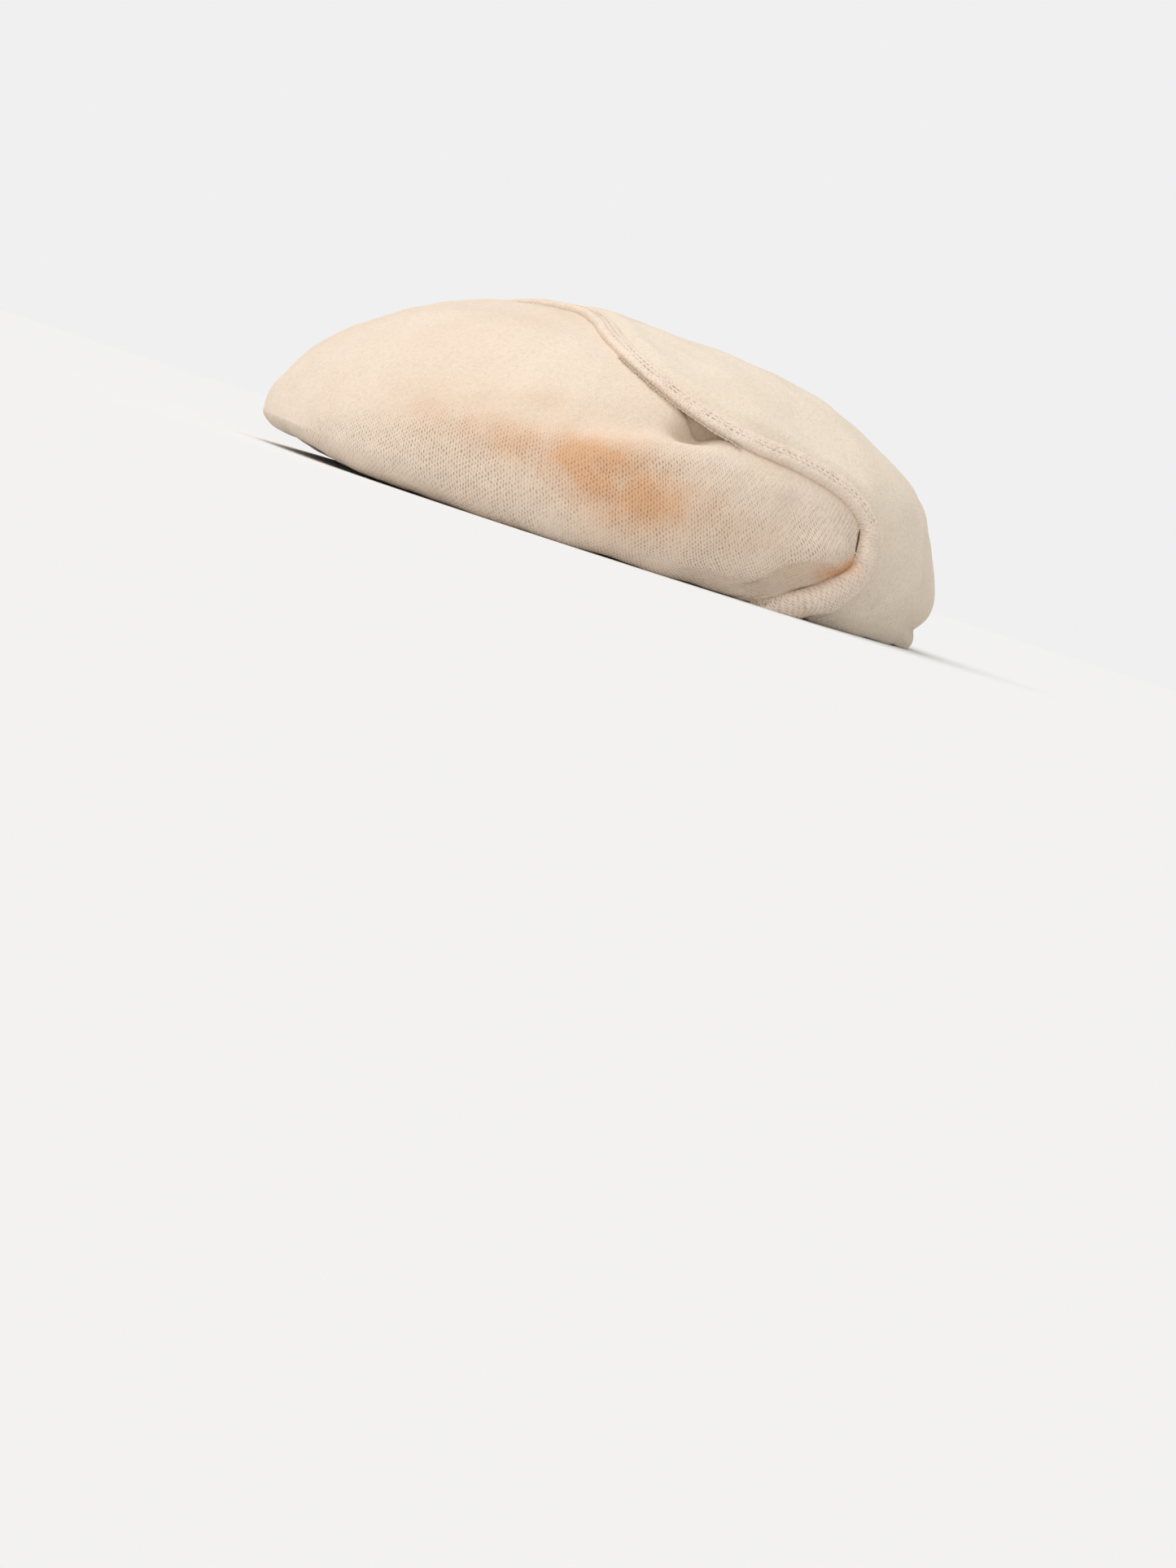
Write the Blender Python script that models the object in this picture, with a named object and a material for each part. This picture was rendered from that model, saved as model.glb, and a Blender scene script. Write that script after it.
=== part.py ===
"""A soft velvet beret: a round crown whose front edge is turned and stitched over a puffed front drape.

The wearer's front faces -Y, the wearer's left is +X, and the hat rests on z = 0.
Every wall is worked out on one form. A place on the form is an azimuth, in degrees from +X towards +Y, and a
reach: 0 at the top of the crown, 1 at the widest line, 2 under the rim, 3 inside the rim's roll and 4 at the
edge of the turned-in cloth.
"""
from collections import namedtuple

import bpy
import numpy as np

# Driving sizes, in metres
HAT_WIDTH = 0.248          # ear to ear, outside
HAT_LENGTH = 0.251         # front to back, outside
HAT_HEIGHT = 0.082         # top of the crown above the surface that the hat rests on
CLOTH = 0.0018             # one wall: velvet on its stiff backing
ROLL_RADIUS = 0.0115       # half the width of the puffed roll along the front rim
ROLL_INSIDE = 0.011        # height of the roll's inner side
TURN_IN = 0.008            # cloth turned up inside the rim, above the roll
REST_FLAT = 0.0012         # how far the rim is pressed flat where it rests
HEM_WIDTH = 0.0085         # width of the turned and stitched edge of the crown
HEM_RISE = 0.0016          # how far that edge stands out of the crown
HEM_UNDER = 0.0012         # how far it reaches below the crown's face
TUCK = 0.0075              # how far the drape runs on under the hem
TUCK_SLOPE = 0.012         # width of the drape's dip beside the hem
FACING_TOP = 0.040         # top of the velvet facing inside the rim, above the resting surface
FACING_CLOTH = 0.0016      # wall of the facing
FACING_LEAN = 0.012        # how far its free edge leans out towards the crown's wall
FACING_CLEAR = 0.0015      # air left between its free edge and the walls
SEWN_GAP = 0.0008          # play between pieces that are sewn face to face
BUTT_GAP = 0.0006          # play between edges that meet

# Sections of the form, all round. spread is a share of the oval's own reach there, rise and bulge are shares of
# HAT_HEIGHT, roll is a share of ROLL_RADIUS, and fullness is the power of the outline, where 2 is an ellipse.
Section = namedtuple("Section", "azimuth spread rise bulge roll fullness")
SECTIONS = [
    Section(-157, 1.010, 0.036, 0.130, 0.62, 1.90),
    Section(-135, 1.018, 0.094, 0.058, 0.90, 1.74),
    Section(-112, 0.990, 0.074, 0.064, 1.00, 1.62),
    Section(-90, 0.995, 0.030, 0.110, 1.00, 1.80),
    Section(-45, 1.000, 0.000, 0.180, 1.00, 2.40),
    Section(0, 1.000, 0.006, 0.300, 0.88, 2.95),
    Section(45, 1.020, 0.000, 0.195, 0.51, 3.05),
    Section(90, 1.018, 0.000, 0.145, 0.48, 2.60),
    Section(135, 1.005, 0.012, 0.150, 0.48, 2.30),
    Section(180, 1.000, 0.000, 0.165, 0.50, 2.05),
]
TOP_FULLNESS = 2.2         # power of the outline at the very top, the same all round

# The slit between the crown and the drape, from the rim over the wearer's left ear, round its hooked end, up over
# the crown and down to the rim on the wearer's right
Stop = namedtuple("Stop", "azimuth reach")
SLIT = [
    Stop(-15.5, 4.00),
    Stop(-15.5, 3.00),
    Stop(-15.5, 2.30),
    Stop(-14.6, 1.87),
    Stop(-11.5, 1.57),
    Stop(-4.0, 1.25),
    Stop(0.8, 1.00),
    Stop(0.8, 0.90),
    Stop(-4.0, 0.795),
    Stop(-13.0, 0.735),
    Stop(-23.0, 0.697),
    Stop(-33.0, 0.630),
    Stop(-44.0, 0.520),
    Stop(-57.0, 0.380),
    Stop(-69.0, 0.270),
    Stop(-91.0, 0.205),
    Stop(-120.0, 0.215),
    Stop(-147.0, 0.300),
    Stop(-164.0, 0.460),
    Stop(-172.5, 0.660),
    Stop(-177.5, 0.860),
    Stop(-179.5, 1.00),
    Stop(-180.0, 1.40),
    Stop(-180.0, 2.00),
    Stop(-180.0, 3.00),
    Stop(-180.0, 4.00),
]

# The hem along the slit: along is a share of the slit's length, width a share of HEM_WIDTH, rise of HEM_RISE and
# tuck of TUCK. Where tuck is 0 the drape meets the hem edge to edge.
HemRow = namedtuple("HemRow", "along width rise tuck")
HEM_ROWS = [
    HemRow(0.000, 0.90, 0.0, 0),
    HemRow(0.020, 1.10, 0.0, 0),
    HemRow(0.040, 1.55, 0.3, 0),
    HemRow(0.060, 2.00, 1.3, 0),
    HemRow(0.080, 1.95, 2.1, 0),
    HemRow(0.110, 1.45, 2.5, 1),
    HemRow(0.150, 1.15, 2.1, 1),
    HemRow(0.185, 1.00, 1.5, 1),
    HemRow(0.230, 0.95, 1.0, 1),
    HemRow(0.600, 1.00, 1.0, 1),
    HemRow(0.860, 1.00, 1.0, 1),
    HemRow(0.925, 0.85, 0.6, 1),
    HemRow(0.950, 0.75, 0.3, 0),
    HemRow(0.975, 0.65, 0.0, 0),
    HemRow(1.000, 0.65, 0.0, 0),
]
# The hem's outline across it, from the slit: across is a share of its width, and height of its rise
Bend = namedtuple("Bend", "across height")
HEM_OUTLINE = [Bend(0.00, -0.35), Bend(0.02, 0.35), Bend(0.16, 0.86), Bend(0.40, 1.00), Bend(0.66, 0.86),
               Bend(0.88, 0.50), Bend(1.00, 0.15)]

# Hollows (minus) and swellings (plus). along and across are their half sizes round the hat and up the wall, and
# depth is their height, all as shares of HAT_HEIGHT. turn leans them, in degrees.
Dent = namedtuple("Dent", "azimuth reach along across depth turn")
DRAPE_DENTS = [
    Dent(-33.5, 0.665, 0.11, 0.055, -0.030, -24),      # the pocket that stands open under the hem
    Dent(-43.0, 0.680, 0.30, 0.110, -0.024, -10),      # the valley between the hem and the crest of the roll
    Dent(-41.0, 0.800, 0.32, 0.090, 0.014, -8),        # the crest of the roll
    Dent(-9.0, 1.370, 0.16, 0.075, -0.042, 26),        # the gathered dimple at the slit's hooked end
    Dent(-7.0, 1.020, 0.18, 0.130, 0.020, 14),         # the swelling above that dimple
]
CROWN_DENTS = [
    Dent(50.0, 1.300, 0.70, 0.055, -0.032, 0),         # the groove above the rim's roll behind
    Dent(33.0, 0.930, 0.20, 0.120, -0.018, 10),        # the soft hollow beside the hooked end
    Dent(12.0, 1.120, 0.17, 0.100, -0.018, -14),       # the shadowed hollow under the hem's plump end
    Dent(70.0, 0.860, 0.30, 0.140, 0.012, 0),          # the fullness at the back
]

# How finely the faceted walls are divided
WALL_REACHES = [1.0, 1.09, 1.18, 1.27, 1.38, 1.52, 1.68, 1.84, 2.0, 2.3, 2.6, 3.0, 4.0]
DRAPE_TOP_SHARES = [0, 0.11, 0.22, 0.34, 0.47, 0.61, 0.75, 0.88]
CORNER_SHARES = [0.25, 0.5, 0.75]
TOP_ROWS = 7
BACK_COLUMNS = 28
FACING_COLUMNS = 48
COLUMN_SPACING = 0.0125    # along the slit, where it runs straight
COLUMN_TURN = 20           # degrees that the slit turns between columns, where it bends
CORNER_REACH = 0.9         # where the slit's two ends leave the grid of the crown's top
SLIT_SAMPLES = 700
BLEND_AZIMUTH = 55.0       # how far round the hat the grid lines lean to follow the slit's ends

VELVET = (0.80, 0.70, 0.62)
HEM_VELVET = (0.80, 0.69, 0.60)
FACING_VELVET = (0.60, 0.49, 0.41)


def through(knots, values, at):
    """A smooth curve through values at rising knots that never swings past them, read at each place in at."""
    knots, values = np.asarray(knots, float), np.asarray(values, float)
    rise = np.diff(values) / np.diff(knots)
    before, after = rise[:-1], rise[1:]
    same_way = before * after > 0
    mean = 2 * before * after / np.where(same_way, before + after, 1)
    slope = np.concatenate([rise[:1], np.where(same_way, mean, 0), rise[-1:]])
    i = np.clip(np.searchsorted(knots, at) - 1, 0, len(knots) - 2)
    step = knots[i + 1] - knots[i]
    u = np.clip((at - knots[i]) / step, 0, 1)
    rest = 1 - u
    return (values[i] * (1 + 2 * u) * rest ** 2 + values[i + 1] * (3 - 2 * u) * u ** 2
            + slope[i] * step * u * rest ** 2 - slope[i + 1] * step * rest * u ** 2)


def around(column, azimuth):
    """A column of the section table, read smoothly at each azimuth."""
    rows = SECTIONS[-3:] + SECTIONS + SECTIONS[:3]
    turns = [-360] * 3 + [0] * len(SECTIONS) + [360] * 3
    knots = [row.azimuth + turn for row, turn in zip(rows, turns)]
    values = [getattr(row, column) for row in rows]
    return through(knots, values, (np.asarray(azimuth) + 180) % 360 - 180)


def smooth_step(x):
    """Rises from 0 to 1 as x does, level at both ends."""
    x = np.clip(x, 0, 1)
    return x * x * (3 - 2 * x)


def unit(vectors):
    return vectors / np.maximum(np.linalg.norm(vectors, axis=-1, keepdims=True), 1e-12)


def form(azimuth, reach, lowest=0):
    """The place on the plain form at each azimuth and reach, pressed flat at its lowest height."""
    azimuth, reach = np.broadcast_arrays(np.asarray(azimuth, float), np.asarray(reach, float))
    angle = np.radians(azimuth)
    widest = around("spread", azimuth) / np.hypot(2 * np.cos(angle) / HAT_WIDTH, 2 * np.sin(angle) / HAT_LENGTH)
    rim = around("rise", azimuth) * HAT_HEIGHT - REST_FLAT
    bulge = around("bulge", azimuth) * HAT_HEIGHT
    roll = around("roll", azimuth) * ROLL_RADIUS
    top = np.clip(reach, 0, 1)
    power = TOP_FULLNESS + (around("fullness", azimuth) - TOP_FULLNESS) * top
    radius = widest * np.sin(top * np.pi / 2) ** (2 / power)
    height = rim + bulge + (HAT_HEIGHT - rim - bulge) * np.cos(top * np.pi / 2)
    turn = np.clip(reach - 1, 0, 2) * np.pi / 2
    side = np.where(reach < 2, bulge, ROLL_INSIDE)
    below = reach > 1
    radius = np.where(below, widest - roll * (1 - np.cos(turn)), radius)
    height = np.where(below, rim + side * (1 - np.sin(turn)), height)
    height = np.maximum(height + np.clip(reach - 3, 0, 1) * TURN_IN, lowest)
    return np.stack([radius * np.cos(angle), radius * np.sin(angle), height], -1)


def slopes(azimuth, reach):
    """The change of the form, before it is pressed flat, for one degree round and for one unit of reach."""
    turn, step = 0.05, 0.002
    reach = np.clip(reach, 2 * step, 4)
    free = -HAT_HEIGHT
    round_ = (form(azimuth + turn, reach, free) - form(azimuth - turn, reach, free)) / (2 * turn)
    down = (form(azimuth, reach + step, free) - form(azimuth, reach - step, free)) / (2 * step)
    return round_, down


def outward(azimuth, reach):
    """The form's outward direction."""
    round_, down = slopes(azimuth, reach)
    return unit(np.cross(down, round_))


def lengths_along(points):
    """The length of a line up to each of its points."""
    return np.concatenate([[0], np.cumsum(np.linalg.norm(np.diff(points, axis=0), axis=1))])


def slit_path():
    """Close and even samples of the slit, as azimuths and reaches."""
    azimuth = np.array([stop.azimuth for stop in SLIT], float)
    reach = np.array([stop.reach for stop in SLIT], float)
    chord = lengths_along(form(azimuth, reach))
    at = np.linspace(0, chord[-1], SLIT_SAMPLES)
    azimuth, reach = through(chord, azimuth, at), through(chord, reach, at)
    length = lengths_along(form(azimuth, reach))
    even = np.linspace(0, length[-1], SLIT_SAMPLES)
    return np.interp(even, length, azimuth), np.interp(even, length, reach)


def walk(azimuth, reach, direction, distances):
    """Walks on the form from each start and gives the places at the rising distances."""
    stride = 0.0005
    azimuth, reach, direction = azimuth.copy(), reach.copy(), direction.copy()
    gone, found = np.zeros(len(azimuth)), []
    for distance in distances:
        step = np.clip(distance - gone, 0, stride)
        while step.max() > 1e-9:
            round_, down = slopes(azimuth, reach)
            normal = unit(np.cross(down, round_))
            direction = unit(direction - normal * (direction * normal).sum(-1, keepdims=True))
            a, b, c = (round_ ** 2).sum(-1), (round_ * down).sum(-1), (down ** 2).sum(-1)
            p, q = (round_ * direction).sum(-1), (down * direction).sum(-1)
            azimuth = azimuth + step * (c * p - b * q) / (a * c - b * b)
            reach = np.clip(reach + step * (a * q - b * p) / (a * c - b * b), 0.02, 4)
            gone = gone + step
            step = np.clip(distance - gone, 0, stride)
        found.append((azimuth, reach))
    return found


class Slit:
    """The slit's line, the way to its crown side, and what runs along it."""

    def __init__(self):
        self.azimuth, self.reach = slit_path()
        self.points = form(self.azimuth, self.reach)
        ahead = unit(np.gradient(self.points, axis=0))
        across = unit(np.cross(ahead, outward(self.azimuth, self.reach)))
        level = unit(slopes(self.azimuth, self.reach)[0])
        level = level * np.sign((across * level).sum(-1, keepdims=True))
        at_rim = smooth_step((self.reach - 0.95) / 0.75)[:, None]
        self.to_crown = unit(across + (level - across) * at_rim)
        along = np.linspace(0, 1, SLIT_SAMPLES)
        knots = [row.along for row in HEM_ROWS]
        self.width = through(knots, [row.width for row in HEM_ROWS], along) * HEM_WIDTH
        self.rise = np.maximum(through(knots, [row.rise for row in HEM_ROWS], along), 0) * HEM_RISE
        self.tuck = np.interp(along, knots, [row.tuck for row in HEM_ROWS])

    def beside(self, distance):
        """The line that lies a distance towards the crown from the slit, one distance for each sample."""
        way = self.to_crown * np.sign(distance)[:, None]
        return walk(self.azimuth, self.reach, way, [np.abs(distance)])[0]

    def depth(self, azimuth, reach):
        """How far each place lies on the drape's side of the slit, minus on the crown's, and the tuck beside it."""
        places = form(azimuth, reach).reshape(-1, 3)
        nearest, index = np.empty(len(places)), np.empty(len(places), int)
        for i in range(0, len(places), 400):
            away = np.linalg.norm(places[i:i + 400, None] - self.points[None], axis=-1)
            nearest[i:i + 400], index[i:i + 400] = away.min(axis=1), away.argmin(axis=1)
        x, y = self.azimuth[:, None], self.reach[:, None]
        drop = np.where(y[1:] == y[:-1], 1e-12, y[1:] - y[:-1])
        crossing = x[:-1] + (np.ravel(reach) - y[:-1]) * (x[1:] - x[:-1]) / drop
        spans = (y[:-1] > np.ravel(reach)) != (y[1:] > np.ravel(reach))
        inside = (spans & (crossing > np.ravel(azimuth))).sum(axis=0) % 2 == 1
        shape = np.shape(azimuth)
        return np.where(inside, nearest, -nearest).reshape(shape), self.tuck[index].reshape(shape)


def dented(azimuth, reach, dents):
    """The height of the hollows and swellings at each place."""
    places = form(azimuth, reach)
    total = np.zeros(np.shape(azimuth))
    for dent in dents:
        round_, down = slopes(np.float64(dent.azimuth), np.float64(dent.reach))
        lean = np.radians(dent.turn)
        ahead = unit(round_) * np.cos(lean) + unit(down) * np.sin(lean)
        across = unit(down) * np.cos(lean) - unit(round_) * np.sin(lean)
        away = places - form(dent.azimuth, dent.reach)
        u = away @ ahead / (dent.along * HAT_HEIGHT)
        v = away @ across / (dent.across * HAT_HEIGHT)
        w = away @ np.cross(ahead, across) / (0.5 * HAT_HEIGHT)
        total = total + dent.depth * HAT_HEIGHT * np.exp(-u * u - v * v - w * w)
    return total


def drape_height(slit, azimuth, reach):
    """How far the drape's face stands off the form: level with it, and dipping to run under the hem."""
    depth, tuck = slit.depth(azimuth, reach)
    dip = smooth_step(2 * tuck)
    beside = -(HEM_UNDER + SEWN_GAP) * dip * (1 - smooth_step(depth / TUCK_SLOPE))
    under = -(CLOTH - HEM_UNDER + SEWN_GAP) * dip * smooth_step(-depth / TUCK)
    dents = dented(azimuth, reach, DRAPE_DENTS)
    dents = np.where(dents > 0, dents * smooth_step(depth / TUCK_SLOPE), dents)
    return beside + under + dents


def crown_height(slit, azimuth, reach):
    """How far the crown's face stands off the form."""
    depth, tuck = slit.depth(azimuth, reach)
    return dented(azimuth, reach, CROWN_DENTS) * smooth_step((-depth - HEM_WIDTH) / HEM_WIDTH)


def wall(azimuth, reach, height):
    """The outer and inner places of a wall."""
    face, normal = form(azimuth, reach), outward(azimuth, reach)
    outer = face + normal * height[..., None]
    outer[..., 2] = np.maximum(outer[..., 2], 0)
    return outer, outer - normal * CLOTH


def thicken(outer, inner, faces):
    """A closed wall from matching outer and inner places and the outer faces."""
    count = len(outer)
    edges = {(face[i], face[(i + 1) % len(face)]) for face in faces for i in range(len(face))}
    sides = [(b, a, a + count, b + count) for a, b in edges if (b, a) not in edges]
    inside = [tuple(i + count for i in reversed(face)) for face in faces]
    return np.concatenate([outer, inner]), list(faces) + inside + sorted(sides)


def grid_faces(ids):
    """Outward faces of a grid of points whose rows run down and whose columns follow the azimuth."""
    return [(int(ids[j, k]), int(ids[j + 1, k]), int(ids[j + 1, k + 1]), int(ids[j, k + 1]))
            for j in range(ids.shape[0] - 1) for k in range(ids.shape[1] - 1)]


def stops_along(azimuth, reach):
    """Indexes spread along a line, closer together where it bends."""
    points = form(azimuth, reach)
    step = min(8, len(points) // 4)
    last = np.arange(len(points))
    ahead = unit(points[np.minimum(last + step, last[-1])] - points[np.maximum(last - step, 0)])
    bend = np.degrees(np.arccos(np.clip((ahead[1:] * ahead[:-1]).sum(-1), -1, 1)))
    growth = np.linalg.norm(np.diff(points, axis=0), axis=1) / COLUMN_SPACING + bend / COLUMN_TURN
    growth = np.concatenate([[0], np.cumsum(growth)])
    wanted = np.linspace(0, growth[-1], int(np.ceil(growth[-1])) + 1)
    return np.unique(np.abs(growth[None] - wanted[:, None]).argmin(axis=1))


def corners(reach):
    """Where a line beside the slit leaves the rim's side wall, and where it comes down to it again."""
    above = np.flatnonzero(reach < CORNER_REACH)
    return above[0], above[-1]


def follow_ends(starts, reaches, ends):
    """Azimuths of a grid whose outer columns follow the slit's two ends down, the others leaning less and less."""
    azimuths = np.broadcast_to(starts, reaches.shape).copy()
    for azimuth, reach, corner in ends:
        order = np.argsort(reach)
        shift = np.interp(reaches, reach[order], azimuth[order]) - corner
        azimuths += shift * smooth_step(1 - np.abs(starts - corner) / BLEND_AZIMUTH)
    return azimuths


def front_drape(slit):
    """The puffed front, from under the hem down round the rim."""
    azimuth, reach = slit.beside(smooth_step(2 * slit.tuck - 1) * (TUCK + BUTT_GAP) - BUTT_GAP)
    near, far = corners(reach)
    picks = near + stops_along(azimuth[near:far + 1], reach[near:far + 1])[::-1]
    starts, tops = azimuth[picks], reach[picks]
    upper = tops + (WALL_REACHES[0] - tops) * np.array(DRAPE_TOP_SHARES)[:, None]
    lower = np.broadcast_to(np.array(WALL_REACHES)[:, None], (len(WALL_REACHES), len(starts)))
    reaches = np.concatenate([upper, lower])
    ends = [(azimuth[:near + 1], reach[:near + 1], azimuth[near]), (azimuth[far:], reach[far:], azimuth[far])]
    azimuths = follow_ends(starts, reaches, ends)
    outer, inner = wall(azimuths, reaches, drape_height(slit, azimuths, reaches))
    ids = np.arange(azimuths.size).reshape(azimuths.shape)
    return thicken(outer.reshape(-1, 3), inner.reshape(-1, 3), grid_faces(ids))


def back_crown(slit):
    """The crown's top and back, from the hem round to the rim behind."""
    azimuth, reach = slit.beside(slit.width + BUTT_GAP)
    near, far = corners(reach)
    picks = near + stops_along(azimuth[near:far + 1], reach[near:far + 1])[::-1]
    front, front_reach = azimuth[picks], reach[picks]
    share = np.linspace(0, 1, BACK_COLUMNS + 1)
    back = front[-1] + (front[0] + 360 - front[-1]) * share
    back_reach = front_reach[-1] + (front_reach[0] - front_reach[-1]) * share
    limits = np.concatenate([front_reach[:-1], back_reach[:-1]])
    top_reaches = limits * np.linspace(0, 1, TOP_ROWS + 1)[1:, None]
    top_azimuths = np.broadcast_to(np.concatenate([front[:-1], back[:-1]]), top_reaches.shape)
    corner_rows = back_reach + (WALL_REACHES[0] - back_reach) * np.array(CORNER_SHARES)[:, None]
    lower = np.broadcast_to(np.array(WALL_REACHES)[:, None], (len(WALL_REACHES), len(back)))
    skirt_reaches = np.concatenate([corner_rows, lower])
    ends = [(azimuth[:near + 1], reach[:near + 1], back[0]), (azimuth[far:] + 360, reach[far:], back[-1])]
    skirt_azimuths = follow_ends(back, skirt_reaches, ends)
    azimuths = np.concatenate([[0], top_azimuths.ravel(), skirt_azimuths.ravel()])
    reaches = np.concatenate([[0], top_reaches.ravel(), skirt_reaches.ravel()])
    height = crown_height(slit, (azimuths + 185) % 360 - 185, reaches)
    outer, inner = wall(azimuths, reaches, height)
    outer[0], inner[0] = (0, 0, HAT_HEIGHT), (0, 0, HAT_HEIGHT - CLOTH)
    ring = 1 + np.arange(top_reaches.size).reshape(top_reaches.shape)
    ring = np.concatenate([ring, ring[:, :1]], axis=1)
    skirt = 1 + top_reaches.size + np.arange(skirt_reaches.size).reshape(skirt_reaches.shape)
    skirt = np.concatenate([ring[-1:, len(front) - 1:], skirt])
    fan = [(0, int(ring[0, k]), int(ring[0, k + 1])) for k in range(ring.shape[1] - 1)]
    return thicken(outer, inner, fan + grid_faces(ring) + grid_faces(skirt))


def slit_hem(slit):
    """The crown's turned and stitched edge, plump where it hooks round the end of the drape."""
    picks = stops_along(slit.azimuth, slit.reach)
    width, rise = slit.width[picks], slit.rise[picks]
    lines = walk(slit.azimuth[picks], slit.reach[picks], slit.to_crown[picks],
                 [bend.across * width for bend in HEM_OUTLINE])
    upper = [form(a, r) + outward(a, r) * (bend.height * rise)[:, None] for (a, r), bend in zip(lines, HEM_OUTLINE)]
    lower = [form(a, r) - outward(a, r) * HEM_UNDER for a, r in (lines[-1], lines[3], lines[1])]
    rings = np.stack(upper + lower, axis=1)
    rings[..., 2] = np.maximum(rings[..., 2], 0)
    count, size = rings.shape[:2]
    ids = np.arange(count * size).reshape(count, size)
    ids = np.concatenate([ids, ids[:, :1]], axis=1)
    faces = [face[::-1] for face in grid_faces(ids)]
    caps = [tuple(range(size - 1, -1, -1)), tuple(range((count - 1) * size, count * size))]
    return rings.reshape(-1, 3), faces + caps


def brim_facing(slit):
    """The velvet band inside the rim, sewn to the turned-in cloth and leaning out to the walls around it."""
    azimuth = np.linspace(-180, 180, FACING_COLUMNS + 1)[:-1]
    seam = form(azimuth, np.full(len(azimuth), 4.0))
    start = np.hypot(seam[:, 0], seam[:, 1]) - SEWN_GAP
    free = seam[:, 2] + SEWN_GAP
    low = free - TURN_IN
    sweep, down = np.meshgrid(np.linspace(-180, 180, 2 * FACING_COLUMNS + 1)[:-1], np.linspace(0.35, 1.6, 50))
    depth, tuck = slit.depth(sweep, down)
    crown = crown_height(slit, sweep, down)
    lowest = np.where(depth < -2 * TUCK, crown, np.minimum(crown, drape_height(slit, sweep, down)))
    walls = wall(sweep, down, lowest)[1].reshape(-1, 3)
    bearing = np.degrees(np.arctan2(walls[:, 1], walls[:, 0]))
    away = np.hypot(walls[:, 0], walls[:, 1])
    turn = np.abs((bearing[None] - azimuth[:, None] + 180) % 360 - 180)
    rows = [(start, low), (start, (low + free) / 2)]
    for share in np.linspace(0, 1, 6):
        height = free + (FACING_TOP - free) * share
        near = (turn < 540 / FACING_COLUMNS) & (np.abs(walls[None, :, 2] - height[:, None]) < FACING_TOP / 10)
        room = np.where(near, away[None], np.inf).min(axis=1) - FACING_CLEAR
        room = np.min([np.roll(room, k) for k in (-2, -1, 0, 1, 2)], axis=0)
        room = np.mean([np.roll(room, k) for k in (-1, 0, 1)], axis=0)
        rows.append((np.minimum(start + FACING_LEAN * smooth_step(share), room), height))
    angle = np.radians(azimuth)
    shells = [np.stack([np.stack([(r - cloth) * np.cos(angle), (r - cloth) * np.sin(angle), z], -1)
                        for r, z in rows[::-1]]) for cloth in (0, FACING_CLOTH)]
    ids = np.arange(len(rows) * len(azimuth)).reshape(len(rows), len(azimuth))
    ids = np.concatenate([ids, ids[:, :1]], axis=1)
    return thicken(shells[0].reshape(-1, 3), shells[1].reshape(-1, 3), grid_faces(ids))


def velvet(name, colour):
    """A matt cloth finish."""
    material = bpy.data.materials.new(name)
    material.use_nodes = True
    shader = material.node_tree.nodes["Principled BSDF"]
    shader.inputs["Base Color"].default_value = (*colour, 1)
    shader.inputs["Roughness"].default_value = 0.95
    shader.inputs["Metallic"].default_value = 0.0
    return material


def add_piece(name, points, faces, material):
    """One named solid."""
    mesh = bpy.data.meshes.new(name)
    mesh.from_pydata([tuple(point) for point in points], [], faces)
    mesh.materials.append(material)
    mesh.update()
    mesh.shade_smooth()
    piece = bpy.data.objects.new(name, mesh)
    bpy.context.scene.collection.objects.link(piece)
    return piece


def main():
    for thing in list(bpy.data.objects):
        bpy.data.objects.remove(thing)
    slit = Slit()
    shapes = {
        "back_crown": (back_crown(slit), velvet("crown_velvet", VELVET)),
        "front_drape": (front_drape(slit), velvet("drape_velvet", VELVET)),
        "slit_hem": (slit_hem(slit), velvet("hem_velvet", HEM_VELVET)),
        "brim_facing": (brim_facing(slit), velvet("facing_velvet", FACING_VELVET)),
    }
    everything = np.concatenate([points for (points, faces), material in shapes.values()])
    low, high = everything.min(axis=0), everything.max(axis=0)
    base_centre = np.array([(low[0] + high[0]) / 2, (low[1] + high[1]) / 2, low[2]])
    for name, ((points, faces), material) in shapes.items():
        add_piece(name, points - base_centre, faces, material)


main()
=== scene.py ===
"""The looks of the velvet beret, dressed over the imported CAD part.

The wearer's front faces -Y, the wearer's left is +X, and the hat rests on z = 0. Each cloth piece is worked out on
the same form as its CAD solid, with many more points, so it lies exactly where that solid is. A place on the form
is an azimuth, in degrees from +X towards +Y, and a reach: 0 at the top of the crown, 1 at the widest line, 2 under
the rim, 3 inside the rim's roll and 4 at the edge of the turned-in cloth.
"""
import math
from collections import namedtuple

import bpy
import numpy as np
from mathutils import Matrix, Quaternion, Vector


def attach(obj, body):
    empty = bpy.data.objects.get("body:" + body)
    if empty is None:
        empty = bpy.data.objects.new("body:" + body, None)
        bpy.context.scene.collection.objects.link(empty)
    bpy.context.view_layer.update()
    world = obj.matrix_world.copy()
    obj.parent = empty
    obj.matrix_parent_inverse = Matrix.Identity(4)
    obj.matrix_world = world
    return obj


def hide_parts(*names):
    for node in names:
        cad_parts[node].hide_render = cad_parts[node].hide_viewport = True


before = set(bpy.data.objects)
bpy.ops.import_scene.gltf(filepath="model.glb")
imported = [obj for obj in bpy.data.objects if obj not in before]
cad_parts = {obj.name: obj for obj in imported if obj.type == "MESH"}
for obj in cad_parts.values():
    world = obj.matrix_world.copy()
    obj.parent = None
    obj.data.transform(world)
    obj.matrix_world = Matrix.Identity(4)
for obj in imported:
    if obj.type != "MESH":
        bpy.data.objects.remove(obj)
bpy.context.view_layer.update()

# Driving sizes, in metres
HAT_WIDTH = 0.248          # ear to ear, outside
HAT_LENGTH = 0.251         # front to back, outside
HAT_HEIGHT = 0.082         # top of the crown above the surface that the hat rests on
CLOTH = 0.0018             # one wall: velvet on its stiff backing
ROLL_RADIUS = 0.0115       # half the width of the puffed roll along the front rim
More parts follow.
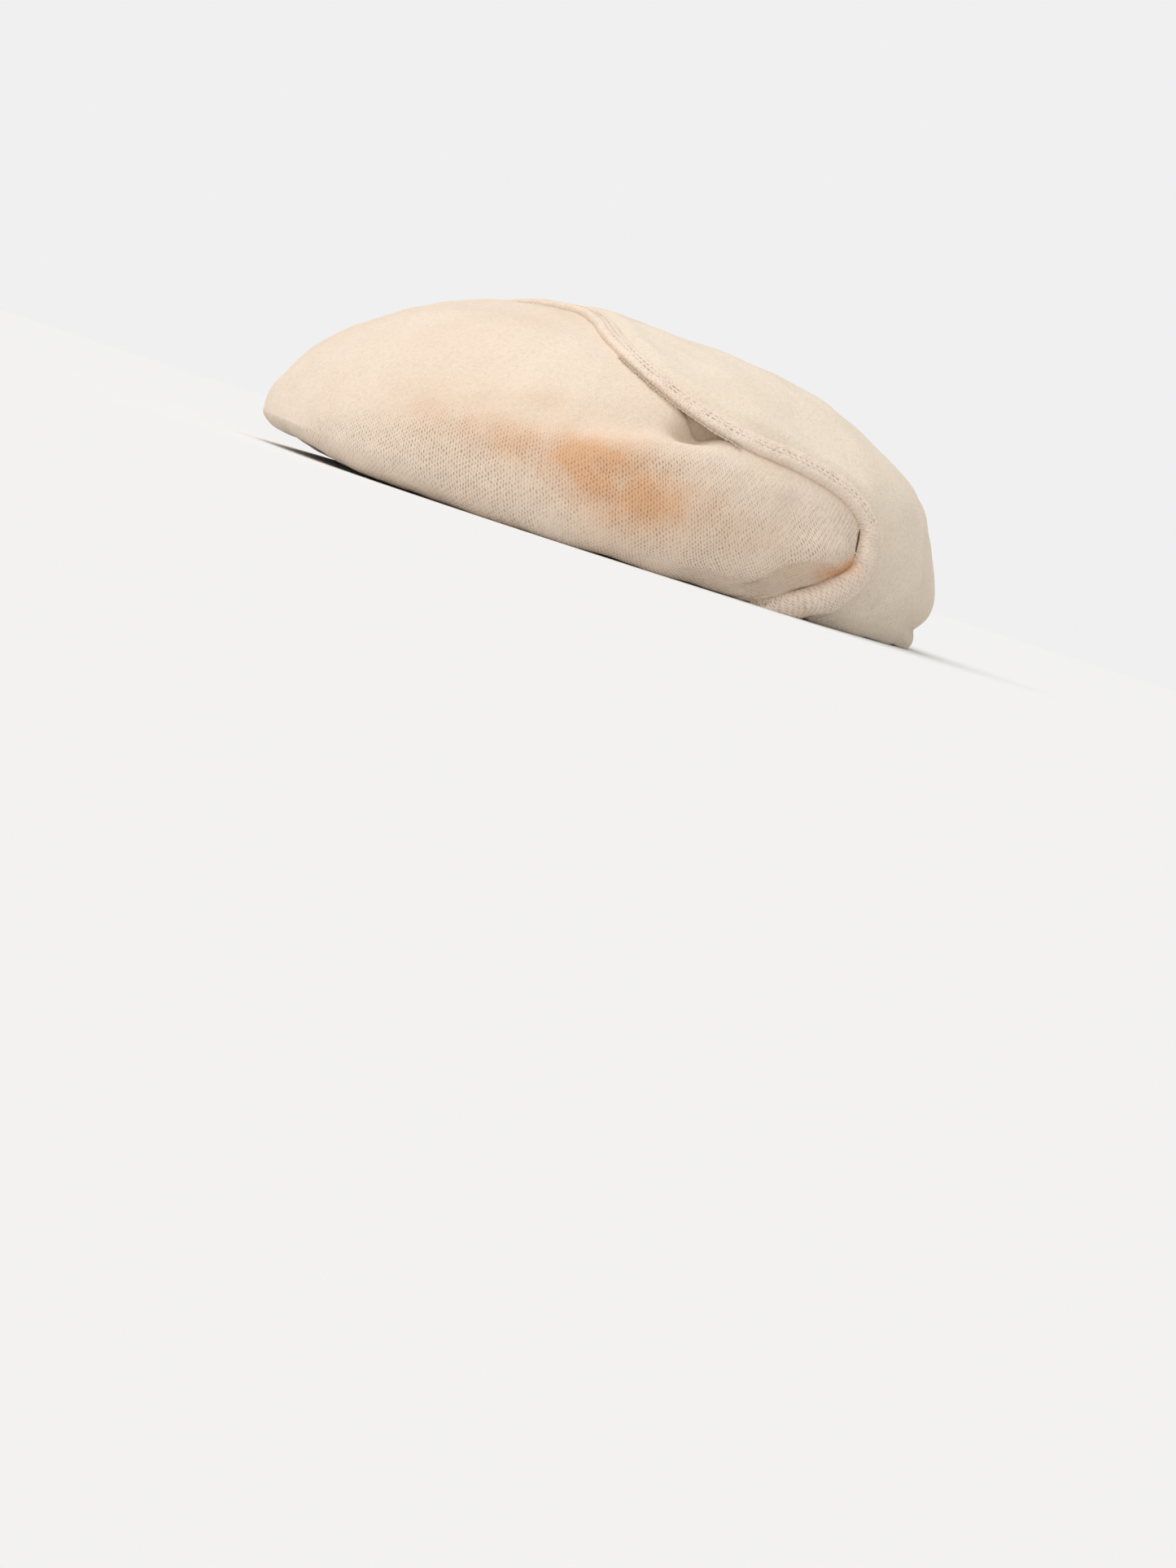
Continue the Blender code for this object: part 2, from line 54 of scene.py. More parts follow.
ROLL_INSIDE = 0.011        # height of the roll's inner side
TURN_IN = 0.008            # cloth turned up inside the rim, above the roll
REST_FLAT = 0.0012         # how far the rim is pressed flat where it rests
HEM_WIDTH = 0.0085         # width of the turned and stitched edge of the crown
HEM_RISE = 0.0016          # how far that edge stands out of the crown
HEM_UNDER = 0.0012         # how far it reaches below the crown's face
TUCK = 0.0075              # how far the drape runs on under the hem
TUCK_SLOPE = 0.012         # width of the drape's dip beside the hem
FACING_TOP = 0.040         # top of the velvet facing inside the rim, above the resting surface
FACING_CLOTH = 0.0016      # wall of the facing
FACING_LEAN = 0.012        # how far its free edge leans out towards the crown's wall
FACING_CLEAR = 0.0015      # air left between its free edge and the walls
SEWN_GAP = 0.0008          # play between pieces that are sewn face to face
BUTT_GAP = 0.0006          # play between edges that meet

# Sections of the form, all round. spread is a share of the oval's own reach there, rise and bulge are shares of
# HAT_HEIGHT, roll is a share of ROLL_RADIUS, and fullness is the power of the outline, where 2 is an ellipse.
Section = namedtuple("Section", "azimuth spread rise bulge roll fullness")
SECTIONS = [
    Section(-157, 1.010, 0.036, 0.130, 0.62, 1.90),
    Section(-135, 1.018, 0.094, 0.058, 0.90, 1.74),
    Section(-112, 0.990, 0.074, 0.064, 1.00, 1.62),
    Section(-90, 0.995, 0.030, 0.110, 1.00, 1.80),
    Section(-45, 1.000, 0.000, 0.180, 1.00, 2.40),
    Section(0, 1.000, 0.006, 0.300, 0.88, 2.95),
    Section(45, 1.020, 0.000, 0.195, 0.51, 3.05),
    Section(90, 1.018, 0.000, 0.145, 0.48, 2.60),
    Section(135, 1.005, 0.012, 0.150, 0.48, 2.30),
    Section(180, 1.000, 0.000, 0.165, 0.50, 2.05),
]
TOP_FULLNESS = 2.2         # power of the outline at the very top, the same all round

# The slit between the crown and the drape, from the rim over the wearer's left ear, round its hooked end, up over
# the crown and down to the rim on the wearer's right
Stop = namedtuple("Stop", "azimuth reach")
SLIT = [
    Stop(-15.5, 4.00),
    Stop(-15.5, 3.00),
    Stop(-15.5, 2.30),
    Stop(-14.6, 1.87),
    Stop(-11.5, 1.57),
    Stop(-4.0, 1.25),
    Stop(0.8, 1.00),
    Stop(0.8, 0.90),
    Stop(-4.0, 0.795),
    Stop(-13.0, 0.735),
    Stop(-23.0, 0.697),
    Stop(-33.0, 0.630),
    Stop(-44.0, 0.520),
    Stop(-57.0, 0.380),
    Stop(-69.0, 0.270),
    Stop(-91.0, 0.205),
    Stop(-120.0, 0.215),
    Stop(-147.0, 0.300),
    Stop(-164.0, 0.460),
    Stop(-172.5, 0.660),
    Stop(-177.5, 0.860),
    Stop(-179.5, 1.00),
    Stop(-180.0, 1.40),
    Stop(-180.0, 2.00),
    Stop(-180.0, 3.00),
    Stop(-180.0, 4.00),
]

# The hem along the slit: along is a share of the slit's length, width a share of HEM_WIDTH, rise of HEM_RISE and
# tuck of TUCK. Where tuck is 0 the drape meets the hem edge to edge.
HemRow = namedtuple("HemRow", "along width rise tuck")
HEM_ROWS = [
    HemRow(0.000, 0.90, 0.0, 0),
    HemRow(0.020, 1.10, 0.0, 0),
    HemRow(0.040, 1.55, 0.3, 0),
    HemRow(0.060, 2.00, 1.3, 0),
    HemRow(0.080, 1.95, 2.1, 0),
    HemRow(0.110, 1.45, 2.5, 1),
    HemRow(0.150, 1.15, 2.1, 1),
    HemRow(0.185, 1.00, 1.5, 1),
    HemRow(0.230, 0.95, 1.0, 1),
    HemRow(0.600, 1.00, 1.0, 1),
    HemRow(0.860, 1.00, 1.0, 1),
    HemRow(0.925, 0.85, 0.6, 1),
    HemRow(0.950, 0.75, 0.3, 0),
    HemRow(0.975, 0.65, 0.0, 0),
    HemRow(1.000, 0.65, 0.0, 0),
]
# The hem's outline across it, from the slit: across is a share of its width, and height of its rise
Bend = namedtuple("Bend", "across height")
HEM_OUTLINE = [Bend(0.00, -0.35), Bend(0.02, 0.35), Bend(0.16, 0.86), Bend(0.40, 1.00), Bend(0.66, 0.86),
               Bend(0.88, 0.50), Bend(1.00, 0.15)]

# Hollows (minus) and swellings (plus). along and across are their half sizes round the hat and up the wall, and
# depth is their height, all as shares of HAT_HEIGHT. turn leans them, in degrees.
Dent = namedtuple("Dent", "azimuth reach along across depth turn")
DRAPE_DENTS = [
    Dent(-33.5, 0.665, 0.11, 0.055, -0.030, -24),      # the pocket that stands open under the hem
    Dent(-43.0, 0.680, 0.30, 0.110, -0.024, -10),      # the valley between the hem and the crest of the roll
    Dent(-41.0, 0.800, 0.32, 0.090, 0.014, -8),        # the crest of the roll
    Dent(-9.0, 1.370, 0.16, 0.075, -0.042, 26),        # the gathered dimple at the slit's hooked end
    Dent(-7.0, 1.020, 0.18, 0.130, 0.020, 14),         # the swelling above that dimple
]
CROWN_DENTS = [
    Dent(50.0, 1.300, 0.70, 0.055, -0.032, 0),         # the groove above the rim's roll behind
    Dent(33.0, 0.930, 0.20, 0.120, -0.018, 10),        # the soft hollow beside the hooked end
    Dent(12.0, 1.120, 0.17, 0.100, -0.018, -14),       # the shadowed hollow under the hem's plump end
    Dent(70.0, 0.860, 0.30, 0.140, 0.012, 0),          # the fullness at the back
]


# The slit's length is sampled this many times
SLIT_SAMPLES = 700
CORNER_REACH = 0.9         # where the slit's two ends leave the grid of the crown's top
BLEND_AZIMUTH = 55.0       # how far round the hat the grid lines lean to follow the slit's ends
FACING_COLUMNS = 48

# How finely the visible walls are divided
COLUMN_SPACING = 0.0015
COLUMN_TURN = 4
TOP_ROWS = 46
DRAPE_ROWS = 60
CORNER_ROWS = 14
BACK_COLUMNS = 210
WALL_REACHES = np.concatenate([np.linspace(1, 2, 31), np.linspace(2, 3, 13)[1:], np.linspace(3, 4, 7)[1:]])

RIB_PITCH = 0.00105        # from one rib of the velvet to the next, at the rim
DASH_LENGTH = 0.0016       # length of one dash and the space after it, along a rib


def through(knots, values, at):
    """A smooth curve through values at rising knots that never swings past them, read at each place in at."""
    knots, values = np.asarray(knots, float), np.asarray(values, float)
    rise = np.diff(values) / np.diff(knots)
    before, after = rise[:-1], rise[1:]
    same_way = before * after > 0
    mean = 2 * before * after / np.where(same_way, before + after, 1)
    slope = np.concatenate([rise[:1], np.where(same_way, mean, 0), rise[-1:]])
    i = np.clip(np.searchsorted(knots, at) - 1, 0, len(knots) - 2)
    step = knots[i + 1] - knots[i]
    u = np.clip((at - knots[i]) / step, 0, 1)
    rest = 1 - u
    return (values[i] * (1 + 2 * u) * rest ** 2 + values[i + 1] * (3 - 2 * u) * u ** 2
            + slope[i] * step * u * rest ** 2 - slope[i + 1] * step * rest * u ** 2)


def around(column, azimuth):
    """A column of the section table, read smoothly at each azimuth."""
    rows = SECTIONS[-3:] + SECTIONS + SECTIONS[:3]
    turns = [-360] * 3 + [0] * len(SECTIONS) + [360] * 3
    knots = [row.azimuth + turn for row, turn in zip(rows, turns)]
    values = [getattr(row, column) for row in rows]
    return through(knots, values, (np.asarray(azimuth) + 180) % 360 - 180)


def smooth_step(x):
    """Rises from 0 to 1 as x does, level at both ends."""
    x = np.clip(x, 0, 1)
    return x * x * (3 - 2 * x)


def unit(vectors):
    return vectors / np.maximum(np.linalg.norm(vectors, axis=-1, keepdims=True), 1e-12)


def form(azimuth, reach, lowest=0):
    """The place on the plain form at each azimuth and reach, pressed flat at its lowest height."""
    azimuth, reach = np.broadcast_arrays(np.asarray(azimuth, float), np.asarray(reach, float))
    angle = np.radians(azimuth)
    widest = around("spread", azimuth) / np.hypot(2 * np.cos(angle) / HAT_WIDTH, 2 * np.sin(angle) / HAT_LENGTH)
    rim = around("rise", azimuth) * HAT_HEIGHT - REST_FLAT
    bulge = around("bulge", azimuth) * HAT_HEIGHT
    roll = around("roll", azimuth) * ROLL_RADIUS
    top = np.clip(reach, 0, 1)
    power = TOP_FULLNESS + (around("fullness", azimuth) - TOP_FULLNESS) * top
    radius = widest * np.sin(top * np.pi / 2) ** (2 / power)
    height = rim + bulge + (HAT_HEIGHT - rim - bulge) * np.cos(top * np.pi / 2)
    turn = np.clip(reach - 1, 0, 2) * np.pi / 2
    side = np.where(reach < 2, bulge, ROLL_INSIDE)
    below = reach > 1
    radius = np.where(below, widest - roll * (1 - np.cos(turn)), radius)
    height = np.where(below, rim + side * (1 - np.sin(turn)), height)
    height = np.maximum(height + np.clip(reach - 3, 0, 1) * TURN_IN, lowest)
    return np.stack([radius * np.cos(angle), radius * np.sin(angle), height], -1)


def slopes(azimuth, reach):
    """The change of the form, before it is pressed flat, for one degree round and for one unit of reach."""
    turn, step = 0.05, 0.002
    reach = np.clip(reach, 2 * step, 4)
    free = -HAT_HEIGHT
    round_ = (form(azimuth + turn, reach, free) - form(azimuth - turn, reach, free)) / (2 * turn)
    down = (form(azimuth, reach + step, free) - form(azimuth, reach - step, free)) / (2 * step)
    return round_, down


def outward(azimuth, reach):
    """The form's outward direction."""
    round_, down = slopes(azimuth, reach)
    return unit(np.cross(down, round_))


def lengths_along(points):
    """The length of a line up to each of its points."""
    return np.concatenate([[0], np.cumsum(np.linalg.norm(np.diff(points, axis=0), axis=1))])


def slit_path():
    """Close and even samples of the slit, as azimuths and reaches."""
    azimuth = np.array([stop.azimuth for stop in SLIT], float)
    reach = np.array([stop.reach for stop in SLIT], float)
    chord = lengths_along(form(azimuth, reach))
    at = np.linspace(0, chord[-1], SLIT_SAMPLES)
    azimuth, reach = through(chord, azimuth, at), through(chord, reach, at)
    length = lengths_along(form(azimuth, reach))
    even = np.linspace(0, length[-1], SLIT_SAMPLES)
    return np.interp(even, length, azimuth), np.interp(even, length, reach)


def walk(azimuth, reach, direction, distances):
    """Walks on the form from each start and gives the places at the rising distances."""
    stride = 0.0005
    azimuth, reach, direction = azimuth.copy(), reach.copy(), direction.copy()
    gone, found = np.zeros(len(azimuth)), []
    for distance in distances:
        step = np.clip(distance - gone, 0, stride)
        while step.max() > 1e-9:
            round_, down = slopes(azimuth, reach)
            normal = unit(np.cross(down, round_))
            direction = unit(direction - normal * (direction * normal).sum(-1, keepdims=True))
            a, b, c = (round_ ** 2).sum(-1), (round_ * down).sum(-1), (down ** 2).sum(-1)
            p, q = (round_ * direction).sum(-1), (down * direction).sum(-1)
            azimuth = azimuth + step * (c * p - b * q) / (a * c - b * b)
            reach = np.clip(reach + step * (a * q - b * p) / (a * c - b * b), 0.02, 4)
            gone = gone + step
            step = np.clip(distance - gone, 0, stride)
        found.append((azimuth, reach))
    return found


class Slit:
    """The slit's line, the way to its crown side, and what runs along it."""

    def __init__(self):
        self.azimuth, self.reach = slit_path()
        self.points = form(self.azimuth, self.reach)
        ahead = unit(np.gradient(self.points, axis=0))
        across = unit(np.cross(ahead, outward(self.azimuth, self.reach)))
        level = unit(slopes(self.azimuth, self.reach)[0])
        level = level * np.sign((across * level).sum(-1, keepdims=True))
        at_rim = smooth_step((self.reach - 0.95) / 0.75)[:, None]
        self.to_crown = unit(across + (level - across) * at_rim)
        along = np.linspace(0, 1, SLIT_SAMPLES)
        knots = [row.along for row in HEM_ROWS]
        self.width = through(knots, [row.width for row in HEM_ROWS], along) * HEM_WIDTH
        self.rise = np.maximum(through(knots, [row.rise for row in HEM_ROWS], along), 0) * HEM_RISE
        self.tuck = np.interp(along, knots, [row.tuck for row in HEM_ROWS])

    def beside(self, distance):
        """The line that lies a distance towards the crown from the slit, one distance for each sample."""
        way = self.to_crown * np.sign(distance)[:, None]
        return walk(self.azimuth, self.reach, way, [np.abs(distance)])[0]

    def depth(self, azimuth, reach):
        """How far each place lies on the drape's side of the slit, minus on the crown's, and the tuck beside it."""
        places = form(azimuth, reach).reshape(-1, 3)
        nearest, index = np.empty(len(places)), np.empty(len(places), int)
        for i in range(0, len(places), 400):
            away = np.linalg.norm(places[i:i + 400, None] - self.points[None], axis=-1)
            nearest[i:i + 400], index[i:i + 400] = away.min(axis=1), away.argmin(axis=1)
        x, y = self.azimuth[:, None], self.reach[:, None]
        drop = np.where(y[1:] == y[:-1], 1e-12, y[1:] - y[:-1])
        crossing = x[:-1] + (np.ravel(reach) - y[:-1]) * (x[1:] - x[:-1]) / drop
        spans = (y[:-1] > np.ravel(reach)) != (y[1:] > np.ravel(reach))
        inside = (spans & (crossing > np.ravel(azimuth))).sum(axis=0) % 2 == 1
        shape = np.shape(azimuth)
        return np.where(inside, nearest, -nearest).reshape(shape), self.tuck[index].reshape(shape)


def dented(azimuth, reach, dents):
    """The height of the hollows and swellings at each place."""
    places = form(azimuth, reach)
    total = np.zeros(np.shape(azimuth))
    for dent in dents:
        round_, down = slopes(np.float64(dent.azimuth), np.float64(dent.reach))
        lean = np.radians(dent.turn)
        ahead = unit(round_) * np.cos(lean) + unit(down) * np.sin(lean)
        across = unit(down) * np.cos(lean) - unit(round_) * np.sin(lean)
        away = places - form(dent.azimuth, dent.reach)
        u = away @ ahead / (dent.along * HAT_HEIGHT)
        v = away @ across / (dent.across * HAT_HEIGHT)
        w = away @ np.cross(ahead, across) / (0.5 * HAT_HEIGHT)
        total = total + dent.depth * HAT_HEIGHT * np.exp(-u * u - v * v - w * w)
    return total


def drape_height(slit, azimuth, reach):
    """How far the drape's face stands off the form: level with it, and dipping to run under the hem."""
    depth, tuck = slit.depth(azimuth, reach)
    dip = smooth_step(2 * tuck)
    beside = -(HEM_UNDER + SEWN_GAP) * dip * (1 - smooth_step(depth / TUCK_SLOPE))
    under = -(CLOTH - HEM_UNDER + SEWN_GAP) * dip * smooth_step(-depth / TUCK)
    dents = dented(azimuth, reach, DRAPE_DENTS)
    dents = np.where(dents > 0, dents * smooth_step(depth / TUCK_SLOPE), dents)
    return beside + under + dents


def crown_height(slit, azimuth, reach):
    """How far the crown's face stands off the form."""
    depth, tuck = slit.depth(azimuth, reach)
    return dented(azimuth, reach, CROWN_DENTS) * smooth_step((-depth - HEM_WIDTH) / HEM_WIDTH)


def wall(azimuth, reach, height):
    """The outer and inner places of a wall."""
    face, normal = form(azimuth, reach), outward(azimuth, reach)
    outer = face + normal * height[..., None]
    outer[..., 2] = np.maximum(outer[..., 2], 0)
    return outer, outer - normal * CLOTH


def near_slit(slit, azimuth, reach):
    """How far each place lies from the slit, plus on the drape's side, and the nearest sample of the slit."""
    flat_azimuth, flat_reach = np.ravel(azimuth), np.ravel(reach)
    places = form(flat_azimuth, flat_reach)
    x, y = slit.azimuth[:, None], slit.reach[:, None]
    drop = np.where(y[1:] == y[:-1], 1e-12, y[1:] - y[:-1])
    depth, index = np.empty(len(places)), np.empty(len(places), int)
    for i in range(0, len(places), 2000):
        part = slice(i, i + 2000)
        away = np.linalg.norm(places[part, None] - slit.points[None], axis=-1)
        index[part] = away.argmin(axis=1)
        r = flat_reach[part]
        crossing = x[:-1] + (r - y[:-1]) * (x[1:] - x[:-1]) / drop
        spans = (y[:-1] > r) != (y[1:] > r)
        inside = (spans & (crossing > flat_azimuth[part])).sum(axis=0) % 2 == 1
        depth[part] = np.where(inside, away.min(axis=1), -away.min(axis=1))
    return depth.reshape(np.shape(azimuth)), index.reshape(np.shape(azimuth))


def ripple(places, size, seed):
    """Smooth swells of about unit height and the given size, the same on each run."""
    draw = np.random.default_rng(seed)
    total = np.zeros(places.shape[:-1])
    for i in range(14):
        way = unit(draw.normal(size=3)) / (size * draw.uniform(0.7, 1.6))
        total += np.sin(2 * np.pi * (places @ way) + draw.uniform(0, 2 * np.pi))
    return total / 2.6


# Lines that the cloth is folded or creased along. A fold's cloth drops by depth on the right of its line over the
# width soft and comes back within decay; a crease is a plain furrow. Sizes are in metres.
Fold = namedtuple("Fold", "depth soft decay stops")
DRAPE_FOLDS = [
    Fold(0.0040, 0.0034, 0.0110, [(-19.5, 1.66), (-17.5, 1.50), (-15.0, 1.33), (-12.0, 1.19), (-8.5, 1.10),
                                  (-5.0, 1.08), (-2.5, 1.12), (-0.8, 1.18)]),
    Fold(0.0016, 0.0060, 0.0120, [(-25.5, 0.715), (-31.0, 0.705), (-36.0, 0.715), (-41.0, 0.735), (-46.0, 0.760),
                                  (-54.0, 0.790)]),
]
HEM_TUCKED = 0.0009        # how far the drape's face lies below the form where it goes under the hem
# Dents that the CAD solid has only in a plainer form
DRAPE_FINE_DENTS = [
    Dent(-31.5, 0.635, 0.105, 0.060, -0.080, -24),     # the dark gap that opens under the hem
    Dent(1.2, 0.925, 0.016, 0.055, -0.030, 0),         # the narrow slot at the slit's end
    Dent(-12.5, 1.440, 0.090, 0.045, 0.020, 24),       # the cloth that swells again inside the gathered hollow
]
CROWN_FINE_DENTS = [
    Dent(16.0, 1.50, 0.10, 0.10, -0.012, 0),
    Dent(30.0, 1.10, 0.06, 0.26, -0.012, 8),
    Dent(23.0, 1.05, 0.05, 0.24, 0.010, -6),
    Dent(38.0, 1.15, 0.06, 0.22, 0.011, 4),
    Dent(46.0, 1.05, 0.06, 0.20, -0.009, 0),
]
Crease = namedtuple("Crease", "depth width stops")
DRAPE_CREASES = [
    Crease(0.0006, 0.0014, [(-20.5, 1.95), (-18.0, 1.82), (-15.8, 1.74)]),
    Crease(0.0012, 0.0018, [(-132.0, 1.7), (-124.0, 2.2), (-114.0, 2.4), (-103.0, 2.3), (-94.0, 2.0)]),
]
CROWN_CREASES = [
    Crease(0.0006, 0.0022, [(8.0, 1.45), (12.0, 1.30), (14.0, 1.15), (13.0, 1.00)]),
    Crease(0.0005, 0.0025, [(24.0, 1.42), (27.0, 1.25), (27.0, 1.05), (24.0, 0.90)]),
    Crease(0.0007, 0.0020, [(52.0, 1.50), (44.0, 1.40), (36.0, 1.34), (27.0, 1.36)]),
]


def beside_line(places, stops):
    """The nearest distance to a line of stops, the share along it, and 1 on its right or -1 on its left."""
    azimuth, reach = np.array(stops, float).T
    knots = lengths_along(form(azimuth, reach))
    at = np.linspace(0, knots[-1], 60)
    azimuth, reach = through(knots, azimuth, at), through(knots, reach, at)
    line = form(azimuth, reach)
    right = unit(np.cross(unit(np.gradient(line, axis=0)), outward(azimuth, reach)))
    flat = places.reshape(-1, 3)
    distance, share, side = np.full(len(flat), 1.0), np.zeros(len(flat)), np.ones(len(flat))
    low, high = line.min(axis=0) - 0.03, line.max(axis=0) + 0.03
    close = np.flatnonzero(((flat > low) & (flat < high)).all(axis=1))
    for i in range(0, len(close), 4000):
        part = close[i:i + 4000]
        away = flat[part, None] - line[None]
        far = np.linalg.norm(away, axis=-1)
        best = far.argmin(axis=1)
        rows = np.arange(len(part))
        distance[part], share[part] = far[rows, best], best / (len(line) - 1)
        side[part] = np.sign((away[rows, best] * right[best]).sum(-1))
    shape = places.shape[:-1]
    return distance.reshape(shape), share.reshape(shape), side.reshape(shape)


def folded(places, folds, creases):
    """The height that folds and creases add to a face."""
    total = np.zeros(places.shape[:-1])
    for fold in folds:
        distance, share, side = beside_line(places, fold.stops)
        fade = smooth_step(share / 0.25) * smooth_step((1 - share) / 0.25)
        drop = smooth_step(side * distance / fold.soft + 0.5) * np.exp(-(distance / fold.decay) ** 2)
        puff = np.exp(-((side * distance + fold.soft) / (1.6 * fold.soft)) ** 2) * 0.22
        total += fold.depth * fade * (puff - drop)
    for crease in creases:
        distance, share, side = beside_line(places, crease.stops)
        fade = smooth_step(share / 0.3) * smooth_step((1 - share) / 0.3)
        valley = np.exp(-(distance / crease.width) ** 2)
        banks = 0.4 * np.exp(-((distance - 2 * crease.width) / (1.4 * crease.width)) ** 2)
        total += crease.depth * fade * (banks - valley)
    return total


class Grown:
    """Points of a piece with what its material needs at each: the rib coordinates, soil and rib strength."""

    def __init__(self, points, faces, ribs, soil, weave):
        self.points, self.faces = points, faces
        self.ribs, self.soil, self.weave = ribs, soil, weave


def grown_wall(outer, inner, faces, ribs, soil, weave):
    """A cloth wall from its outer and inner places, with no soil and weaker ribs on its inner face."""
    points, faces = thicken(outer, inner, faces)
    return Grown(points, faces, np.concatenate([ribs, ribs]), np.concatenate([soil, 0 * soil]),
                 np.concatenate([weave, 0.4 * weave]))


def thicken(outer, inner, faces):
    """A closed wall from matching outer and inner places and the outer faces."""
    count = len(outer)
    edges = {(face[i], face[(i + 1) % len(face)]) for face in faces for i in range(len(face))}
    sides = [(b, a, a + count, b + count) for a, b in edges if (b, a) not in edges]
    inside = [tuple(i + count for i in reversed(face)) for face in faces]
    return np.concatenate([outer, inner]), list(faces) + inside + sorted(sides)


def grid_faces(ids):
    """Outward faces of a grid of points whose rows run down and whose columns follow the azimuth."""
    a, b, c, d = ids[:-1, :-1], ids[1:, :-1], ids[1:, 1:], ids[:-1, 1:]
    return [tuple(face) for face in np.stack([a, b, c, d], -1).reshape(-1, 4).tolist()]


def columns_needed(azimuth, reach):
    """How many columns a line needs up to each of its points, more where it bends."""
    points = form(azimuth, reach)
    step = min(8, len(points) // 4)
    last = np.arange(len(points))
    ahead = unit(points[np.minimum(last + step, last[-1])] - points[np.maximum(last - step, 0)])
    bend = np.degrees(np.arccos(np.clip((ahead[1:] * ahead[:-1]).sum(-1), -1, 1)))
    needed = np.linalg.norm(np.diff(points, axis=0), axis=1) / COLUMN_SPACING + bend / COLUMN_TURN
    return np.concatenate([[0], np.cumsum(needed)])


def corners(reach):
    """Where a line beside the slit leaves the rim's side wall, and where it comes down to it again."""
    above = np.flatnonzero(reach < CORNER_REACH)
    return above[0], above[-1]


def columns(azimuth, reach):
    """Even places along the top line between its corners, from the far end to the near one."""
    near, far = corners(reach)
    azimuth, reach = azimuth[near:far + 1], reach[near:far + 1]
    needed = columns_needed(azimuth, reach)
    wanted = np.linspace(needed[-1], 0, int(np.ceil(needed[-1])) + 1)
    return np.interp(wanted, needed, azimuth), np.interp(wanted, needed, reach), near, far


def follow_ends(starts, reaches, ends):
    """Azimuths of a grid whose outer columns follow the slit's two ends down, the others leaning less and less."""
    azimuths = np.broadcast_to(starts, reaches.shape).copy()
    for azimuth, reach, corner in ends:
        order = np.argsort(reach)
        shift = np.interp(reaches, reach[order], azimuth[order]) - corner
        azimuths += shift * smooth_step(1 - np.abs(starts - corner) / BLEND_AZIMUTH)
    return azimuths


# The ribs show from this reach down: azimuth and reach
WEAVE_STARTS = [(-200, 1.25), (-130, 1.10), (-102, 0.93), (-75, 0.79), (-45, 0.74), (-25, 0.68), (-10, 0.72),
                (5, 0.80)]

# Soil and stains: the place, the half size in metres round the hat and up the wall, and the strength
Spot = namedtuple("Spot", "azimuth reach along across strength")
SPOTS = [
    Spot(-40.0, 0.900, 0.021, 0.0130, 1.15),
    Spot(-46.0, 0.850, 0.018, 0.0110, 0.80),
    Spot(-41.0, 0.990, 0.018, 0.0080, 0.50),
    Spot(-52.0, 0.860, 0.018, 0.0090, 0.60),
    Spot(-58.0, 0.870, 0.020, 0.0080, 0.40),
    Spot(-58.0, 0.720, 0.014, 0.0080, 0.40),
    Spot(-67.0, 0.860, 0.022, 0.0090, 0.42),
    Spot(-76.0, 0.840, 0.020, 0.0090, 0.26),
    Spot(-28.0, 0.950, 0.020, 0.0110, 0.36),
    Spot(0.2, 1.040, 0.0022, 0.0030, 1.30),
    Spot(-1.0, 1.090, 0.0024, 0.0026, 1.40),
    Spot(-2.5, 1.155, 0.0030, 0.0024, 1.30),
    Spot(-4.2, 1.225, 0.0030, 0.0022, 0.80),
]


def soiled(places):
    """How stained each place is."""
    total = np.zeros(places.shape[:-1])
    for spot in SPOTS:
        round_, down = slopes(np.float64(spot.azimuth), np.float64(spot.reach))
        away = places - form(spot.azimuth, spot.reach)
        u, v = away @ unit(round_) / spot.along, away @ unit(down) / spot.across
        w = away @ unit(np.cross(down, round_)) / 0.03
        total += spot.strength * np.exp(-u * u - v * v - w * w)
    return total


def rib_lines(azimuths, rows, zero_row):
    """Rib coordinates of a grid: leaning ribs counted round the hat, and dashes counted down each column."""
    pitch = 360 * RIB_PITCH / (np.pi * HAT_WIDTH)
    down = np.linalg.norm(np.diff(rows, axis=0), axis=-1)
    down = np.concatenate([np.zeros((1, rows.shape[1])), np.cumsum(down, axis=0)])
    down = down - down[zero_row]
    lean = 0.30 + 0.30 * smooth_step((azimuths + 40) / 30) * smooth_step((25 - azimuths) / 30)
    return np.stack([azimuths / pitch - lean * down / RIB_PITCH, down / DASH_LENGTH], -1)


